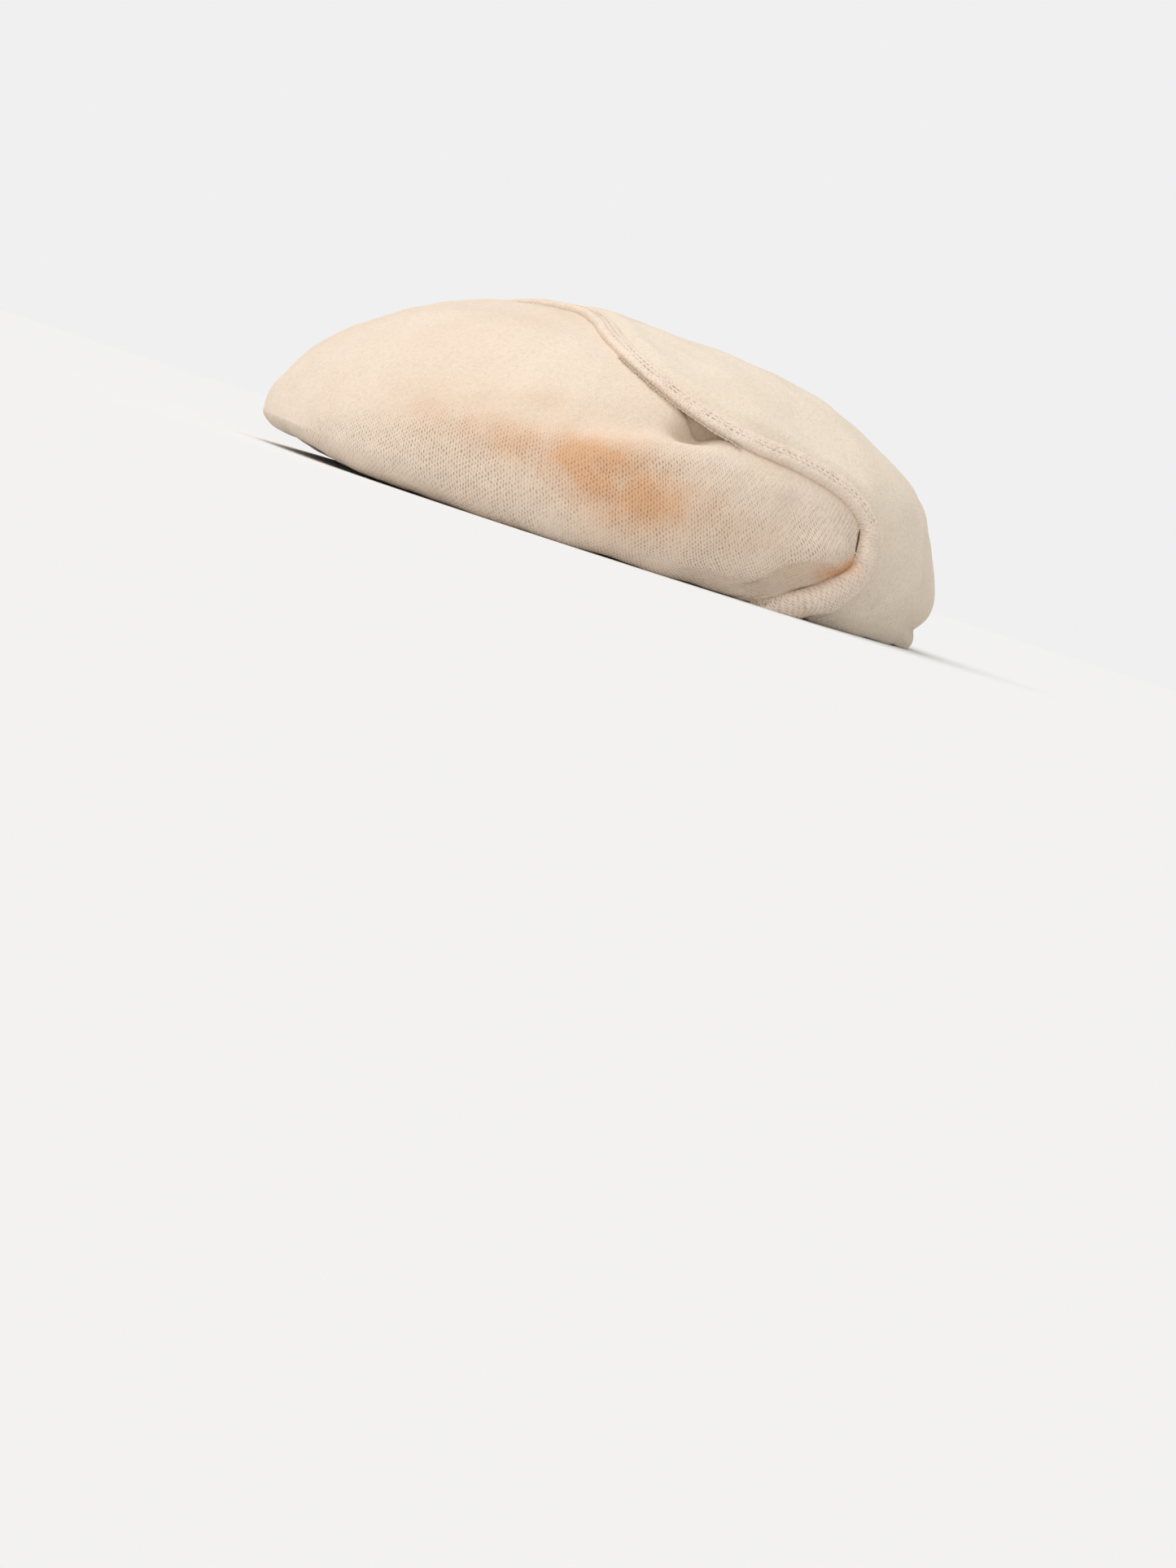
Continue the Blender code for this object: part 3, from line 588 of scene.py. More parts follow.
def front_drape(slit):
    """The puffed front, from under the hem down round the rim."""
    along = np.linspace(0, 1, SLIT_SAMPLES)
    tucked = smooth_step((along - 0.03) / 0.085) * smooth_step((0.975 - along) / 0.04)
    azimuth, reach = slit.beside(tucked * (TUCK + BUTT_GAP) - BUTT_GAP)
    starts, tops, near, far = columns(azimuth, reach)
    shares = np.linspace(0, 1, DRAPE_ROWS + 1)[:-1, None]
    upper = tops + (WALL_REACHES[0] - tops) * shares
    lower = np.broadcast_to(WALL_REACHES[:, None], (len(WALL_REACHES), len(starts)))
    reaches = np.concatenate([upper, lower])
    ends = [(azimuth[:near + 1], reach[:near + 1], azimuth[near]), (azimuth[far:], reach[far:], azimuth[far])]
    azimuths = follow_ends(starts, reaches, ends)
    places = form(azimuths, reaches)
    depth, index = near_slit(slit, azimuths, reaches)
    along = index / (SLIT_SAMPLES - 1)
    dip = smooth_step((along - 0.05) / 0.06) * smooth_step((0.96 - along) / 0.05)
    edge = HEM_TUCKED + 0.15 * slit.rise[index] * plumpness(index)[..., 0]
    beside = -edge * dip * (1 - smooth_step(depth / TUCK_SLOPE))
    under = -(CLOTH + SEWN_GAP - HEM_TUCKED) * dip * smooth_step(-depth / 0.0025)
    free = smooth_step(depth / TUCK_SLOPE)
    dents = dented(azimuths, reaches, DRAPE_DENTS)
    dents = np.where(dents > 0, dents * free, dents * (0.4 + 0.6 * smooth_step(depth / 0.007)))
    dents += dented(azimuths, reaches, DRAPE_FINE_DENTS)
    low = 1 - smooth_step((reaches - 1.6) / 0.6)
    soft = (0.00042 * ripple(places, 0.034, 3) + 0.00016 * ripple(places, 0.011, 4)) * free * (0.25 + 0.75 * low)
    fine = folded(places, DRAPE_FOLDS, DRAPE_CREASES) * smooth_step((depth + 0.002) / 0.004)
    outer, inner = wall(azimuths, reaches, beside + under + dents + soft + fine)
    first = np.interp(azimuths, *np.array(WEAVE_STARTS, float).T)
    weave = 0.10 + 0.90 * smooth_step((reaches - first) / 0.13)
    ribs = rib_lines(azimuths, places, DRAPE_ROWS)
    ids = np.arange(azimuths.size).reshape(azimuths.shape)
    return grown_wall(outer.reshape(-1, 3), inner.reshape(-1, 3), grid_faces(ids), ribs.reshape(-1, 2),
                 soiled(places).ravel(), weave.ravel())


def back_crown(slit):
    """The crown's top and back, from the hem round to the rim behind."""
    azimuth, reach = slit.beside(slit.width + BUTT_GAP)
    front, front_reach, near, far = columns(azimuth, reach)
    share = np.linspace(0, 1, BACK_COLUMNS + 1)
    back = front[-1] + (front[0] + 360 - front[-1]) * share
    back_reach = front_reach[-1] + (front_reach[0] - front_reach[-1]) * share
    limits = np.concatenate([front_reach[:-1], back_reach[:-1]])
    top_reaches = limits * np.linspace(0, 1, TOP_ROWS + 1)[1:, None]
    top_azimuths = np.broadcast_to(np.concatenate([front[:-1], back[:-1]]), top_reaches.shape)
    corner_rows = back_reach + (WALL_REACHES[0] - back_reach) * np.linspace(0, 1, CORNER_ROWS + 2)[1:-1, None]
    lower = np.broadcast_to(WALL_REACHES[:, None], (len(WALL_REACHES), len(back)))
    skirt_reaches = np.concatenate([corner_rows, lower])
    ends = [(azimuth[:near + 1], reach[:near + 1], back[0]), (azimuth[far:] + 360, reach[far:], back[-1])]
    skirt_azimuths = follow_ends(back, skirt_reaches, ends)
    azimuths = np.concatenate([[0], top_azimuths.ravel(), skirt_azimuths.ravel()])
    reaches = np.concatenate([[0], top_reaches.ravel(), skirt_reaches.ravel()])
    places = form(azimuths, reaches)
    depth, index = near_slit(slit, (azimuths + 185) % 360 - 185, reaches)
    clear = smooth_step((-depth - HEM_WIDTH) / HEM_WIDTH)
    past_hem = -depth - slit.width[index]
    lip = plumpness(index)[..., 0]
    groove = -0.0007 * np.exp(-((past_hem - 0.0012) / 0.0014) ** 2)
    groove += 0.0005 * np.exp(-((past_hem - 0.006) / 0.003) ** 2)
    groove -= 0.0016 * lip * np.exp(-(past_hem / 0.0050) ** 2)
    low = 1 - smooth_step((reaches - 1.6) / 0.6)
    soft = (0.0006 * ripple(places, 0.040, 5) + 0.00016 * ripple(places, 0.013, 6)) * (0.25 + 0.75 * low)
    soft = soft * smooth_step(past_hem / 0.008) + groove * smooth_step((3 - reaches) / 0.8)
    height = dented(azimuths, reaches, CROWN_DENTS + CROWN_FINE_DENTS) * clear + soft
    height += folded(places, [], CROWN_CREASES) * clear
    height[0] = 0
    outer, inner = wall(azimuths, reaches, height)
    outer[0], inner[0] = (0, 0, HAT_HEIGHT), (0, 0, HAT_HEIGHT - CLOTH)
    top = 1 + top_reaches.size
    ribs = np.zeros((len(places), 2))
    ribs[1:top] = rib_lines(top_azimuths, places[1:top].reshape(*top_reaches.shape, 3), -1).reshape(-1, 2)
    ribs[top:] = rib_lines(skirt_azimuths, places[top:].reshape(*skirt_reaches.shape, 3), 0).reshape(-1, 2)
    weave = 0.12 + 0.6 * smooth_step((reaches - 0.85) / 0.5)
    ring = 1 + np.arange(top_reaches.size).reshape(top_reaches.shape)
    ring = np.concatenate([ring, ring[:, :1]], axis=1)
    skirt = top + np.arange(skirt_reaches.size).reshape(skirt_reaches.shape)
    skirt = np.concatenate([ring[-1:, len(front) - 1:], skirt])
    fan = [(0, int(ring[0, k]), int(ring[0, k + 1])) for k in range(ring.shape[1] - 1)]
    return grown_wall(outer, inner, fan + grid_faces(ring) + grid_faces(skirt), ribs, 0.15 * soiled(places), weave)


# Two rows of stitches run along the hem where it lies flat. row is a share of the hem's width.
STITCH_ROWS = (0.34, 0.56)
STITCH_PITCH = 0.0023
HEM_RIBS, HEM_DASHES = 0.0010, 0.0016  # pitch along the hem and across it
STITCHED = (0.165, 0.93)   # from and to these shares of the slit's length
THREAD = 0.00016           # radius of the thread


# The outline across the hem where it is plump, from the slit's edge over the roll and down to the crown. shift moves
# it towards the crown, in metres.
RoundBend = namedtuple("RoundBend", "across height shift")
LIP_OUTLINE = [RoundBend(0.00, -0.55, 0.0010), RoundBend(0.02, -0.15, -0.0004), RoundBend(0.07, 0.40, -0.0015),
               RoundBend(0.14, 0.85, -0.0017), RoundBend(0.26, 1.18, -0.0010), RoundBend(0.42, 1.33, 0.0000),
               RoundBend(0.60, 1.26, 0.0006), RoundBend(0.76, 1.02, 0.0011), RoundBend(0.88, 0.62, 0.0013),
               RoundBend(0.95, 0.18, 0.0008), RoundBend(1.00, -0.28, 0.0000)]
BULB = (0.050, 0.018, 1.60)    # the swollen near end: where along the slit, its half length and its extra height


def hem_bed(slit, shares, samples):
    """Places across the hem at each sample of the slit: the form, its outward direction and the hem's own height."""
    lines = walk(slit.azimuth[samples], slit.reach[samples], slit.to_crown[samples],
                 [share * slit.width[samples] for share in shares])
    shares = np.asarray(shares, float)
    flat, round_ = [through([bend.across for bend in bends], [bend.height for bend in bends], shares)[None]
                    for bends in (HEM_OUTLINE, LIP_OUTLINE)]
    shift = through([bend.across for bend in LIP_OUTLINE], [bend.shift for bend in LIP_OUTLINE], shares)[None]
    plump = plumpness(samples)
    along = samples[:, None] / (SLIT_SAMPLES - 1)
    swell = 1 + BULB[2] * np.exp(-((along - BULB[0]) / BULB[1]) ** 2) * (round_ > 0)
    height = flat + (round_ * swell - flat) * plump
    places = np.stack([form(a, r) for a, r in lines], 1)
    places = places + slit.to_crown[samples][:, None] * (shift * plump)[..., None]
    normals = np.stack([outward(a, r) for a, r in lines], 1)
    return places, normals, height * slit.rise[samples][:, None]


def plumpness(samples):
    """1 where the hem is the plump lip, falling to 0 where it lies flat."""
    along = samples / (SLIT_SAMPLES - 1)
    return (smooth_step((0.19 - along) / 0.08) * smooth_step((along - 0.01) / 0.04))[:, None]


def slit_hem(slit):
    """The crown's turned and stitched edge, plump where it hooks round the end of the drape."""
    samples = np.arange(0, SLIT_SAMPLES)
    shares = np.concatenate([[0, 0.008, 0.02, 0.05, 0.09], np.linspace(0.13, 0.9, 22), [0.95, 1.0]])
    places, normals, height = hem_bed(slit, shares, samples)
    along = np.linspace(0, 1, SLIT_SAMPLES)
    length = lengths_along(slit.points)
    sewn = (smooth_step((along - STITCHED[0]) / 0.03) * smooth_step((STITCHED[1] - along) / 0.03))[:, None]
    beat = 0.75 + 0.25 * np.cos(2 * np.pi * length / STITCH_PITCH)[:, None]
    pull = sum(np.exp(-((shares[None] - row) / 0.055) ** 2) for row in STITCH_ROWS)
    inner_ridge = np.exp(-((shares[None] - 0.82) / 0.09) ** 2)
    plump = plumpness(samples)
    detail = -0.00034 * pull * beat * sewn + 0.00030 * inner_ridge * sewn
    detail += (0.00010 * ripple(places, 0.006, 8) + 0.00030 * ripple(places, 0.016, 9) * plump) * (height > 0)
    detail *= smooth_step(shares / 0.06)[None] * smooth_step((1 - shares) / 0.06)[None]
    upper = places + normals * (height + detail)[..., None]
    lower = [places[:, k] - normals[:, k] * HEM_UNDER for k in (len(shares) - 1, 14, 2)]
    rings = np.concatenate([upper, np.stack(lower, 1)], axis=1)
    rings[..., 2] = np.maximum(rings[..., 2], 0)
    count, size = rings.shape[:2]
    ids = np.arange(count * size).reshape(count, size)
    ids = np.concatenate([ids, ids[:, :1]], axis=1)
    faces = [face[::-1] for face in grid_faces(ids)]
    faces += [tuple(range(size - 1, -1, -1)), tuple(range((count - 1) * size, count * size))]
    across = np.concatenate([shares, [1.0, 0.5, 0.0]])[None] * slit.width[:, None]
    ribs = np.stack([np.broadcast_to((length / HEM_RIBS)[:, None], across.shape), across / HEM_DASHES], -1)
    weave = np.broadcast_to(0.45 + 0.5 * plump, across.shape)
    points = rings.reshape(-1, 3)
    return Grown(points, faces, ribs.reshape(-1, 2), 0.35 * soiled(points), weave.ravel())


def tube(line, radius, sides=6):
    """Points and faces of a closed thread along a line, thinner at its two ends."""
    line = np.asarray(line, float)
    ahead = unit(np.gradient(line, axis=0))
    side = unit(np.cross(ahead, [0.31, 0.22, 0.93]))
    up = np.cross(side, ahead)
    share = np.linspace(0, 1, len(line))
    width = radius * (0.35 + 0.65 * smooth_step(np.minimum(share, 1 - share) / 0.2))
    turn = np.linspace(0, 2 * np.pi, sides + 1)[:-1]
    ring = np.cos(turn)[None, :, None] * side[:, None] + np.sin(turn)[None, :, None] * up[:, None]
    points = line[:, None] + ring * width[:, None, None]
    ids = np.arange(len(line) * sides).reshape(len(line), sides)
    ids = np.concatenate([ids, ids[:, :1]], axis=1)
    faces = [face[::-1] for face in grid_faces(ids)]
    faces += [tuple(range(sides)), tuple(range((len(line) - 1) * sides, len(line) * sides))[::-1]]
    return points.reshape(-1, 3), faces


def threads(lines, radius):
    """One mesh of many short threads."""
    points, faces, count = [], [], 0
    for line in lines:
        p, f = tube(line, radius)
        points.append(p)
        faces += [tuple(i + count for i in face) for face in f]
        count += len(p)
    return np.concatenate(points), faces


def stitches(slit):
    """The stitches of both rows, each a little arch of thread that dips into the velvet at its ends."""
    samples = np.arange(0, SLIT_SAMPLES)
    places, normals, height = hem_bed(slit, STITCH_ROWS, samples)
    along = np.linspace(0, 1, SLIT_SAMPLES)
    draw = np.random.default_rng(11)
    lines = []
    for row in range(len(STITCH_ROWS)):
        face = places[:, row] + normals[:, row] * (height[:, row] - 0.00030)[:, None]
        length = lengths_along(face)
        start = np.interp(STITCHED[0] + 0.01, along, length)
        stop = np.interp(STITCHED[1] - 0.01, along, length)
        for at in np.arange(start + 0.001 * row, stop, STITCH_PITCH):
            spots = at + np.linspace(0, 0.72 * STITCH_PITCH, 6) + draw.normal(0, 0.00006)
            lift = 0.00030 * np.sin(np.linspace(0, np.pi, 6)) ** 0.6 - 0.00014
            lines.append([[np.interp(s, length, face[:, k]) + h * np.interp(s, length, normals[:, row, k])
                           for k in range(3)] for s, h in zip(spots, lift)])
    return threads(lines, THREAD)


def raw_edge(slit):
    """The cut edge of the cloth under the hem, seen as a row of little knitted loops where the hem stands open."""
    span = np.flatnonzero((slit.azimuth > -51) & (slit.azimuth < -24.5) & (slit.reach < 0.75))
    away = np.full(SLIT_SAMPLES, -0.0016)
    azimuth, reach = slit.beside(away)
    draw = np.random.default_rng(12)
    lines = []
    for first in span[:-3:2]:
        at = first + draw.normal(0, 0.25)
        root = [np.interp(at, np.arange(SLIT_SAMPLES), slit.points[:, k]) for k in range(3)]
        next_root = [np.interp(at + 1.7, np.arange(SLIT_SAMPLES), slit.points[:, k]) for k in range(3)]
        i = int(round(at)) + 1
        tip = form(azimuth[i], reach[i])
        up = outward(azimuth[i], reach[i])
        out = unit(tip - slit.points[i]) * (0.0013 + draw.normal(0, 0.00022))
        root, next_root = np.array(root), np.array(next_root)
        lines.append([root - up * 0.0009, root + out * 0.6 - up * 0.0003, (root + next_root) / 2 + out,
                      next_root + out * 0.6 - up * 0.0003, next_root - up * 0.0009])
    return threads([curve(line, 9) for line in lines], 0.00024)


def lip_threads(slit):
    """The few stitches that gather the lip's near end."""
    lines = []
    for azimuth, reach, turn, length in LIP_STITCHES:
        middle, up = form(azimuth, reach), outward(azimuth, reach)
        round_, down = slopes(np.float64(azimuth), np.float64(reach))
        way = unit(round_) * math.cos(math.radians(turn)) + unit(down) * math.sin(math.radians(turn))
        share = np.linspace(-0.5, 0.5, 7)[:, None]
        lines.append(middle + way * share * length + up * (0.0016 - 0.006 * share ** 2))
    return threads(lines, 0.00020)


def loose_thread():
    """A white thread end that sticks out over the slit."""
    stops = [form(a, r) + outward(a, r) * h for a, r, h in LOOSE_THREAD]
    return threads([curve(stops, 16)], 0.00020)


# azimuth, reach, turn in degrees and length in metres
LIP_STITCHES = [(-15.2, 1.78, 65, 0.0036), (-14.3, 1.70, 95, 0.0032), (-13.2, 1.66, 120, 0.0030),
                (-15.8, 1.90, 35, 0.0028)]
# azimuth, reach and height above the form in metres
LOOSE_THREAD = [(-1.2, 0.955, -0.0004), (-0.7, 0.970, 0.0012), (0.2, 0.990, 0.0030),
                (1.3, 1.015, 0.0044), (1.9, 1.035, 0.0046)]


def curve(stops, count):
    """A smooth line through a few stops."""
    stops = np.asarray(stops, float)
    knots = lengths_along(stops)
    at = np.linspace(0, knots[-1], count)
    return np.stack([through(knots, stops[:, k], at) for k in range(3)], -1)


def brim_facing(slit):
    """The velvet band inside the rim, softly puckered, sewn to the turned-in cloth and leaning out to the walls."""
    azimuth = np.linspace(-180, 180, FACING_COLUMNS + 1)[:-1]
    seam = form(azimuth, np.full(len(azimuth), 4.0))
    start = np.hypot(seam[:, 0], seam[:, 1]) - SEWN_GAP
    free = seam[:, 2] + SEWN_GAP
    low = free - TURN_IN
    sweep, down = np.meshgrid(np.linspace(-180, 180, 2 * FACING_COLUMNS + 1)[:-1], np.linspace(0.35, 1.6, 50))
    depth, tuck = slit.depth(sweep, down)
    crown = crown_height(slit, sweep, down)
    lowest = np.where(depth < -2 * TUCK, crown, np.minimum(crown, drape_height(slit, sweep, down)))
    walls = wall(sweep, down, lowest)[1].reshape(-1, 3)
    bearing = np.degrees(np.arctan2(walls[:, 1], walls[:, 0]))
    away = np.hypot(walls[:, 0], walls[:, 1])
    turn = np.abs((bearing[None] - azimuth[:, None] + 180) % 360 - 180)
    rows = [(start, low), (start, (low + free) / 2)]
    for share in np.linspace(0, 1, 6):
        height = free + (FACING_TOP - free) * share
        near = (turn < 540 / FACING_COLUMNS) & (np.abs(walls[None, :, 2] - height[:, None]) < FACING_TOP / 10)
        room = np.where(near, away[None], np.inf).min(axis=1) - FACING_CLEAR
        room = np.min([np.roll(room, k) for k in (-2, -1, 0, 1, 2)], axis=0)
        room = np.mean([np.roll(room, k) for k in (-1, 0, 1)], axis=0)
        rows.append((np.minimum(start + FACING_LEAN * smooth_step(share), room), height))
    radii, heights = np.array([r for r, z in rows[::-1]]), np.array([z for r, z in rows[::-1]])
    fine_rows, fine_turns = np.linspace(0, len(rows) - 1, 36), np.linspace(-180, 180, 481)[:-1]
    closed = np.append(azimuth, 180)
    radii, heights = [np.stack([np.interp(fine_turns, closed, np.append(row, row[0])) for row in part])
                      for part in (radii, heights)]
    radii, heights = [np.stack([np.interp(fine_rows, np.arange(len(rows)), part[:, k])
                                for k in range(part.shape[1])], 1) for part in (radii, heights)]
    angle = np.radians(fine_turns)[None]
    flat = np.stack([radii * np.cos(angle), radii * np.sin(angle), heights], -1)
    waves = np.sin(angle * 61 + 3 * np.sin(angle * 5)) * (0.6 + 0.4 * np.sin(angle * 13 + 1))
    pucker = -0.0004 * (1 + waves) * np.sin(np.linspace(0, np.pi, len(fine_rows)))[:, None] ** 0.5
    radii = radii + pucker - 0.0003 * (1 + ripple(flat, 0.02, 13))
    shells = [np.stack([(radii - cloth) * np.cos(angle), (radii - cloth) * np.sin(angle), heights], -1)
              for cloth in (0, FACING_CLOTH)]
    ids = np.arange(heights.size).reshape(heights.shape)
    ids = np.concatenate([ids, ids[:, :1]], axis=1)
    ribs = np.stack([np.broadcast_to(fine_turns / 360 * 500, heights.shape), heights / DASH_LENGTH], -1)
    none = np.zeros(heights.size)
    return grown_wall(shells[0].reshape(-1, 3), shells[1].reshape(-1, 3), grid_faces(ids), ribs.reshape(-1, 2),
                 none, none + 0.4)


class Finish:
    """Builds a material's nodes."""

    def __init__(self, name):
        self.material = bpy.data.materials.new(name)
        self.material.use_nodes = True
        self.tree = self.material.node_tree
        self.shader = self.tree.nodes["Principled BSDF"]

    def node(self, kind, **settings):
        node = self.tree.nodes.new("ShaderNode" + kind)
        for name, value in settings.items():
            setattr(node, name, value)
        return node

    def put(self, value, socket):
        if isinstance(value, bpy.types.NodeSocket):
            self.tree.links.new(value, socket)
        else:
            socket.default_value = value

    def math(self, operation, *values):
        node = self.node("Math", operation=operation)
        for value, socket in zip(values, node.inputs):
            self.put(value, socket)
        return node.outputs[0]

    def ease(self, value, low, high):
        """0 to 1 as value goes from low to high."""
        node = self.node("MapRange", interpolation_type="SMOOTHSTEP")
        self.put(value, node.inputs["Value"])
        node.inputs["From Min"].default_value = low
        node.inputs["From Max"].default_value = high
        return node.outputs["Result"]

    def noise(self, scale, detail=2.0, vector=None):
        node = self.node("TexNoise")
        self.put(vector or self.place, node.inputs["Vector"])
        node.inputs["Scale"].default_value = scale
        node.inputs["Detail"].default_value = detail
        return node.outputs["Fac"]

    def mix(self, share, a, b, blend="MIX"):
        node = self.node("Mix", data_type="RGBA", blend_type=blend)
        for value, socket in zip((share, a, b), (node.inputs[0], node.inputs[6], node.inputs[7])):
            self.put(value, socket)
        return node.outputs[2]

    def attribute(self, name):
        return self.node("Attribute", attribute_name=name).outputs["Fac"]


def velvet(name, light, deep, weave_depth, grain_share=0.12):
    """Velvet with broken ribs: little dark dashes staggered between the ribs, a fine nap, uneven colour and soil."""
    finish = Finish(name)
    math_ = finish.math
    finish.place = finish.node("TexCoord").outputs["Object"]
    uv = finish.node("SeparateXYZ")
    finish.put(finish.node("UVMap", uv_map="Ribs").outputs["UV"], uv.inputs[0])
    wander = math_("SUBTRACT", finish.noise(190, 2), 0.5)
    jitter = math_("SUBTRACT", finish.noise(1100, 2), 0.5)
    u = math_("ADD", math_("ADD", uv.outputs[0], math_("MULTIPLY", wander, 1.5)), math_("MULTIPLY", jitter, 0.45))
    column = math_("FLOOR", u)
    x = math_("DIVIDE", math_("SUBTRACT", math_("SUBTRACT", u, column), 0.5), 0.30)
    v = math_("ADD", math_("MULTIPLY", column, 0.5), uv.outputs[1])
    v = math_("ADD", v, math_("MULTIPLY", wander, 1.1))
    row = math_("FLOOR", v)
    y = math_("DIVIDE", math_("SUBTRACT", math_("SUBTRACT", v, row), 0.5), 0.52)
    cell = finish.node("CombineXYZ")
    finish.put(column, cell.inputs[0])
    finish.put(row, cell.inputs[1])
    chance = finish.node("TexWhiteNoise", noise_dimensions="2D")
    finish.put(cell.outputs[0], chance.inputs["Vector"])
    away = math_("SQRT", math_("ADD", math_("MULTIPLY", x, x), math_("MULTIPLY", y, y)))
    dash = math_("MULTIPLY", finish.ease(away, 1.0, 0.15),
                 math_("ADD", math_("MULTIPLY", chance.outputs["Value"], 0.60), 0.40))
    patchy = finish.ease(finish.noise(48, 3), 0.30, 0.62)
    strength = math_("MULTIPLY", finish.attribute("weave"), math_("ADD", math_("MULTIPLY", patchy, 0.6), 0.4))
    dash = math_("MULTIPLY", dash, strength)
    nap = finish.noise(1500, 3)
    grain = finish.noise(620, 3)
    fleck = finish.noise(4200, 2)
    uneven = finish.ease(finish.noise(22, 4), 0.30, 0.72)
    colour = finish.mix(math_("MULTIPLY", uneven, 0.55), (*light, 1), (*deep, 1))
    warm = finish.ease(finish.noise(34, 3), 0.48, 0.75)
    colour = finish.mix(math_("MULTIPLY", warm, 0.12), colour, (0.80, 0.55, 0.38, 1))
    colour = finish.mix(math_("MULTIPLY", finish.ease(nap, 0.35, 0.7), 0.10), colour, (0.42, 0.31, 0.22, 1))
    colour = finish.mix(math_("MULTIPLY", finish.ease(grain, 0.42, 0.72), grain_share), colour,
                        (0.40, 0.31, 0.23, 1))
    soil = math_("MULTIPLY", finish.attribute("soil"), math_("ADD", math_(
        "MULTIPLY", finish.ease(finish.noise(70, 4), 0.25, 0.70), 0.7), 0.3))
    colour = finish.mix(math_("MINIMUM", math_("MULTIPLY", soil, 0.62), 0.85), colour, (*SOIL_COLOUR, 1))
    colour = finish.mix(math_("MULTIPLY", dash, weave_depth), colour, (0.34, 0.22, 0.14, 1))
    finish.put(colour, finish.shader.inputs["Base Color"])
    height = math_("ADD", math_("MULTIPLY", dash, -1.1), math_("MULTIPLY", nap, 0.55))
    height = math_("ADD", height, math_("MULTIPLY", fleck, 0.35))
    height = math_("ADD", height, math_("MULTIPLY", grain, 0.9))
    bump = finish.node("Bump")
    bump.inputs["Strength"].default_value = 0.75
    bump.inputs["Distance"].default_value = 0.00042
    finish.put(height, bump.inputs["Height"])
    finish.put(bump.outputs["Normal"], finish.shader.inputs["Normal"])
    finish.shader.inputs["Roughness"].default_value = 0.92
    finish.shader.inputs["Specular IOR Level"].default_value = 0.18
    finish.shader.inputs["Sheen Weight"].default_value = 0.22
    finish.shader.inputs["Sheen Roughness"].default_value = 0.45
    finish.shader.inputs["Sheen Tint"].default_value = (1.0, 0.93, 0.85, 1)
    return finish.material


SOIL_COLOUR = (0.74, 0.40, 0.20)


def thread_finish(name, colour):
    """Spun cotton thread: fine diagonal strands on a plain colour."""
    finish = Finish(name)
    finish.place = finish.node("TexCoord").outputs["Object"]
    strands = finish.ease(finish.noise(5200, 2), 0.35, 0.65)
    darker = tuple(0.62 * part for part in colour)
    finish.put(finish.mix(strands, (*darker, 1), (*colour, 1)), finish.shader.inputs["Base Color"])
    bump = finish.node("Bump")
    bump.inputs["Strength"].default_value = 0.5
    bump.inputs["Distance"].default_value = 0.0001
    finish.put(strands, bump.inputs["Height"])
    finish.put(bump.outputs["Normal"], finish.shader.inputs["Normal"])
    finish.shader.inputs["Roughness"].default_value = 0.85
    finish.shader.inputs["Sheen Weight"].default_value = 0.3
    return finish.material


def add_piece(name, points, faces, material, shift):
    """A mesh piece that rides on the hat."""
    mesh = bpy.data.meshes.new(name)
    mesh.from_pydata((points + shift).tolist(), [], faces)
    mesh.materials.append(material)
    mesh.update()
    mesh.shade_smooth()
    mesh.set_sharp_from_angle(angle=math.radians(62))
    piece = bpy.data.objects.new(name, mesh)
    bpy.context.scene.collection.objects.link(piece)
    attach(piece, "root")
    return piece


def add_velvet(name, grown, material, shift):
    """A velvet piece with its rib coordinates, soil and rib strength kept on its mesh."""
    piece = add_piece(name, grown.points, grown.faces, material, shift)
    mesh = piece.data
    for label, values in (("soil", grown.soil), ("weave", grown.weave)):
        attribute = mesh.attributes.new(label, "FLOAT", "POINT")
        attribute.data.foreach_set("value", np.ascontiguousarray(values, np.float32))
    corner = np.empty(len(mesh.loops), np.int32)
    mesh.loops.foreach_get("vertex_index", corner)
    mesh.uv_layers.new(name="Ribs").data.foreach_set("uv", grown.ribs[corner].astype(np.float32).ravel())
    return piece


def paper(name, colour):
    """The plain matt floor."""
    finish = Finish(name)
    finish.place = finish.node("TexCoord").outputs["Object"]
    light = finish.mix(finish.noise(3.0, 2), (*colour, 1), (*[0.985 * part for part in colour], 1))
    finish.put(light, finish.shader.inputs["Base Color"])
    finish.shader.inputs["Roughness"].default_value = 1.0
    finish.shader.inputs["Specular IOR Level"].default_value = 0.0
    return finish.material


def add_stage():
    """A level floor, and round it a plain pale dome that only the camera sees, so no line shows where they meet."""
    turn = np.linspace(0, 2 * np.pi, 97)[:-1]
    rim = [(STAGE_RADIUS * math.cos(a), STAGE_RADIUS * math.sin(a), 0.0) for a in turn]
    floor = stage_piece("studio_floor", rim, [tuple(range(len(rim)))], paper("studio_paper", FLOOR_COLOUR))
    tiers = np.linspace(0, np.pi / 2, 13)[:-1]
    dome = [(STAGE_RADIUS * math.cos(a) * math.cos(t), STAGE_RADIUS * math.sin(a) * math.cos(t),
             STAGE_RADIUS * math.sin(t)) for t in tiers for a in turn]
    ids = np.arange(len(dome)).reshape(len(tiers), len(turn))
    ids = np.concatenate([ids, ids[:, :1]], axis=1)
    faces = grid_faces(ids) + [tuple(int(i) for i in ids[-1, :-1])]
    backdrop = stage_piece("studio_backdrop", dome, faces, glow("studio_glow", BACKDROP))
    for ray in ("diffuse", "glossy", "transmission", "shadow", "volume_scatter"):
        setattr(backdrop, "visible_" + ray, False)
    return floor, backdrop


def stage_piece(name, points, faces, material):
    mesh = bpy.data.meshes.new(name)
    mesh.from_pydata(points, [], faces)
    mesh.materials.append(material)
    piece = bpy.data.objects.new(name, mesh)
    bpy.context.scene.collection.objects.link(piece)
    return piece


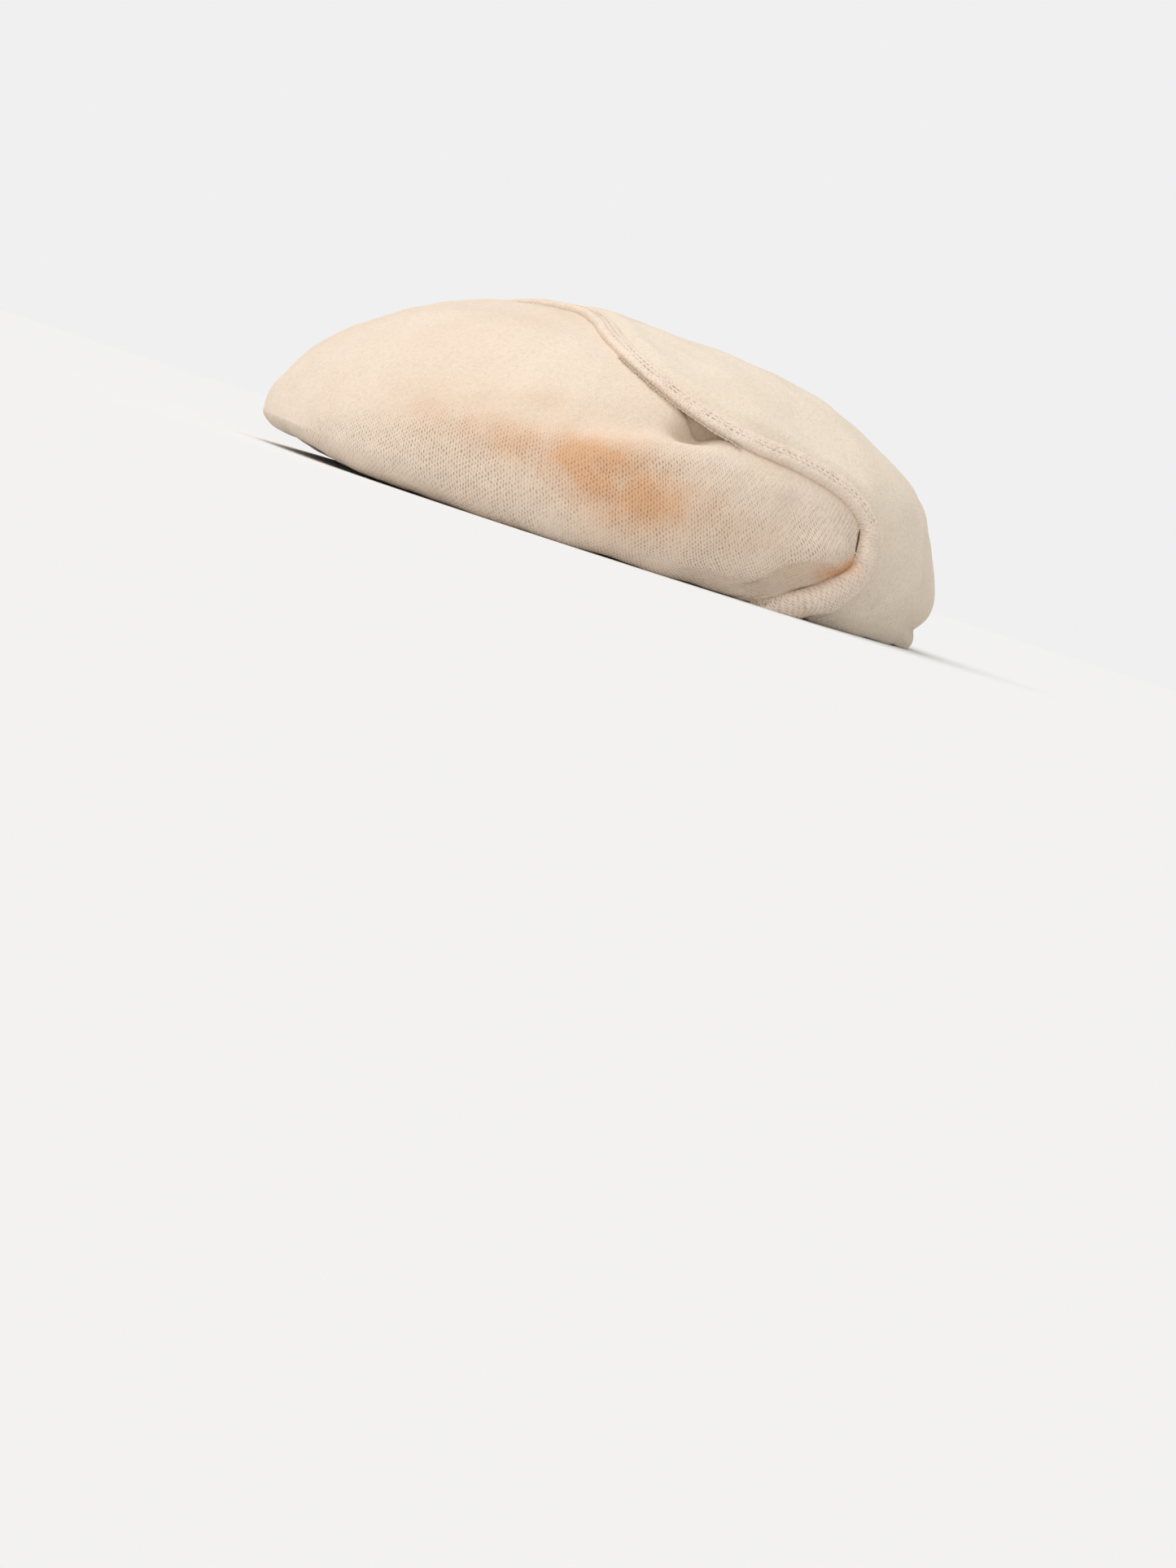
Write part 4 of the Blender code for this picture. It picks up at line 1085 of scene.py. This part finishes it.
def glow(name, level):
    """The backdrop's even paleness."""
    finish = Finish(name)
    finish.shader.inputs["Base Color"].default_value = (0, 0, 0, 1)
    finish.shader.inputs["Specular IOR Level"].default_value = 0.0
    finish.shader.inputs["Emission Color"].default_value = (level, level, level, 1)
    finish.shader.inputs["Emission Strength"].default_value = 1.0
    return finish.material


STAGE_RADIUS = 8.0
FLOOR_COLOUR = (0.80, 0.80, 0.80)
BACKDROP = 0.871           # as bright as the lit floor

# The photograph's camera: it stands in front and to the wearer's left, leans with the hat's tilt on the head, and
# here looks from just above the floor, because the hat rests on it
CAMERA_AZIMUTH = 45.0
CAMERA_ELEVATION = 1.0
CAMERA_ROLL = 17.9
CAMERA_DISTANCE = 1.0
FOCAL_PIXELS = 3310.0
FRAME_WIDTH, FRAME_HEIGHT = 1445, 1927
ORIGIN_PIXEL = (725.9, 671.0)  # where the middle of the hat's base shows


def add_camera():
    turn, rise = math.radians(CAMERA_AZIMUTH), math.radians(CAMERA_ELEVATION)
    back = Vector((math.sin(turn) * math.cos(rise), -math.cos(turn) * math.cos(rise), math.sin(rise)))
    data = bpy.data.cameras.new("camera")
    data.sensor_fit = "VERTICAL"
    data.sensor_height = 24.0
    data.lens = FOCAL_PIXELS / FRAME_HEIGHT * data.sensor_height
    data.clip_start, data.clip_end = 0.01, 60
    camera = bpy.data.objects.new("camera", data)
    bpy.context.scene.collection.objects.link(camera)
    across = ORIGIN_PIXEL[0] - FRAME_WIDTH / 2
    up = FRAME_HEIGHT / 2 - ORIGIN_PIXEL[1]
    seen = Vector((across, up, -FOCAL_PIXELS)).normalized()
    level = (-back).to_track_quat("-Z", "Y")
    rolled = level @ Quaternion((0, 0, 1), math.radians(CAMERA_ROLL))
    aim = seen.rotation_difference(Vector((0, 0, -1)))
    camera.rotation_mode = "QUATERNION"
    camera.rotation_quaternion = rolled @ aim
    camera.location = back * CAMERA_DISTANCE
    bpy.context.scene.camera = camera


def add_sun(name, toward, strength, spread, colour):
    """Soft light from far off, from the direction toward."""
    data = bpy.data.lights.new(name, "SUN")
    data.energy = strength
    data.angle = math.radians(spread)
    data.color = colour
    light = bpy.data.objects.new(name, data)
    light.rotation_mode = "QUATERNION"
    light.rotation_quaternion = (-Vector(toward)).to_track_quat("-Z", "Y")
    bpy.context.scene.collection.objects.link(light)


def add_world(colour, strength):
    world = bpy.data.worlds.new("studio")
    bpy.context.scene.world = world
    world.use_nodes = True
    background = world.node_tree.nodes["Background"]
    background.inputs["Color"].default_value = (*colour, 1)
    background.inputs["Strength"].default_value = strength


# Each velvet's light tone, its deep tone and how dark its dashes are
VELVETS = {
    "crown_velvet": ((0.86, 0.755, 0.62), (0.80, 0.67, 0.52), 0.62),
    "drape_velvet": ((0.86, 0.725, 0.595), (0.80, 0.64, 0.50), 0.80),
    "hem_velvet": ((0.88, 0.745, 0.62), (0.83, 0.67, 0.54), 0.75),
    # The facing's light and deep tones are dark brown: painted shade for the inside of the hat, not the velvet's own
    # colour
    "facing_velvet": ((0.55, 0.42, 0.31), (0.45, 0.33, 0.24), 0.3),
}


def main():
    slit = Slit()
    top = max((vertex.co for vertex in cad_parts["back_crown"].data.vertices), key=lambda co: co.z)
    shift = np.array([top.x, top.y, top.z - HAT_HEIGHT])
    crown, drape, hem, facing = back_crown(slit), front_drape(slit), slit_hem(slit), brim_facing(slit)
    # The facing's velvet carries painted shade for the hat's inside in its colour
    for name, node, slot, grown in (("crown_cloth", "back_crown", "crown_velvet", crown),
                                    ("drape_cloth", "front_drape", "drape_velvet", drape),
                                    ("hem_fold", "slit_hem", "hem_velvet", hem),
                                    ("facing_cloth", "brim_facing", "facing_velvet", facing)):
        piece = add_velvet(name, grown, velvet(slot, *VELVETS[slot]), shift)
        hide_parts(node)
    cotton = thread_finish("cotton_thread", (0.80, 0.66, 0.50))
    stitch_piece = add_piece("hem_stitches", *stitches(slit), cotton, shift)
    edge_piece = add_piece("raw_knit_edge", *raw_edge(slit), cotton, shift)
    lip_piece = add_piece("lip_stitches", *lip_threads(slit), cotton, shift)
    white = thread_finish("white_thread", (0.86, 0.83, 0.78))
    loose_piece = add_piece("loose_thread", *loose_thread(), white, shift)
    add_stage()
    add_camera()
    add_world((1.0, 1.0, 1.0), 0.50)
    add_sun("key", (-0.15, -0.45, 1.0), 2.1, 70, (1.0, 0.99, 0.97))
    add_sun("fill", (0.8, -0.75, 0.12), 0.35, 60, (1.0, 1.0, 1.0))
    bpy.context.scene.view_settings.view_transform = "Standard"


main()
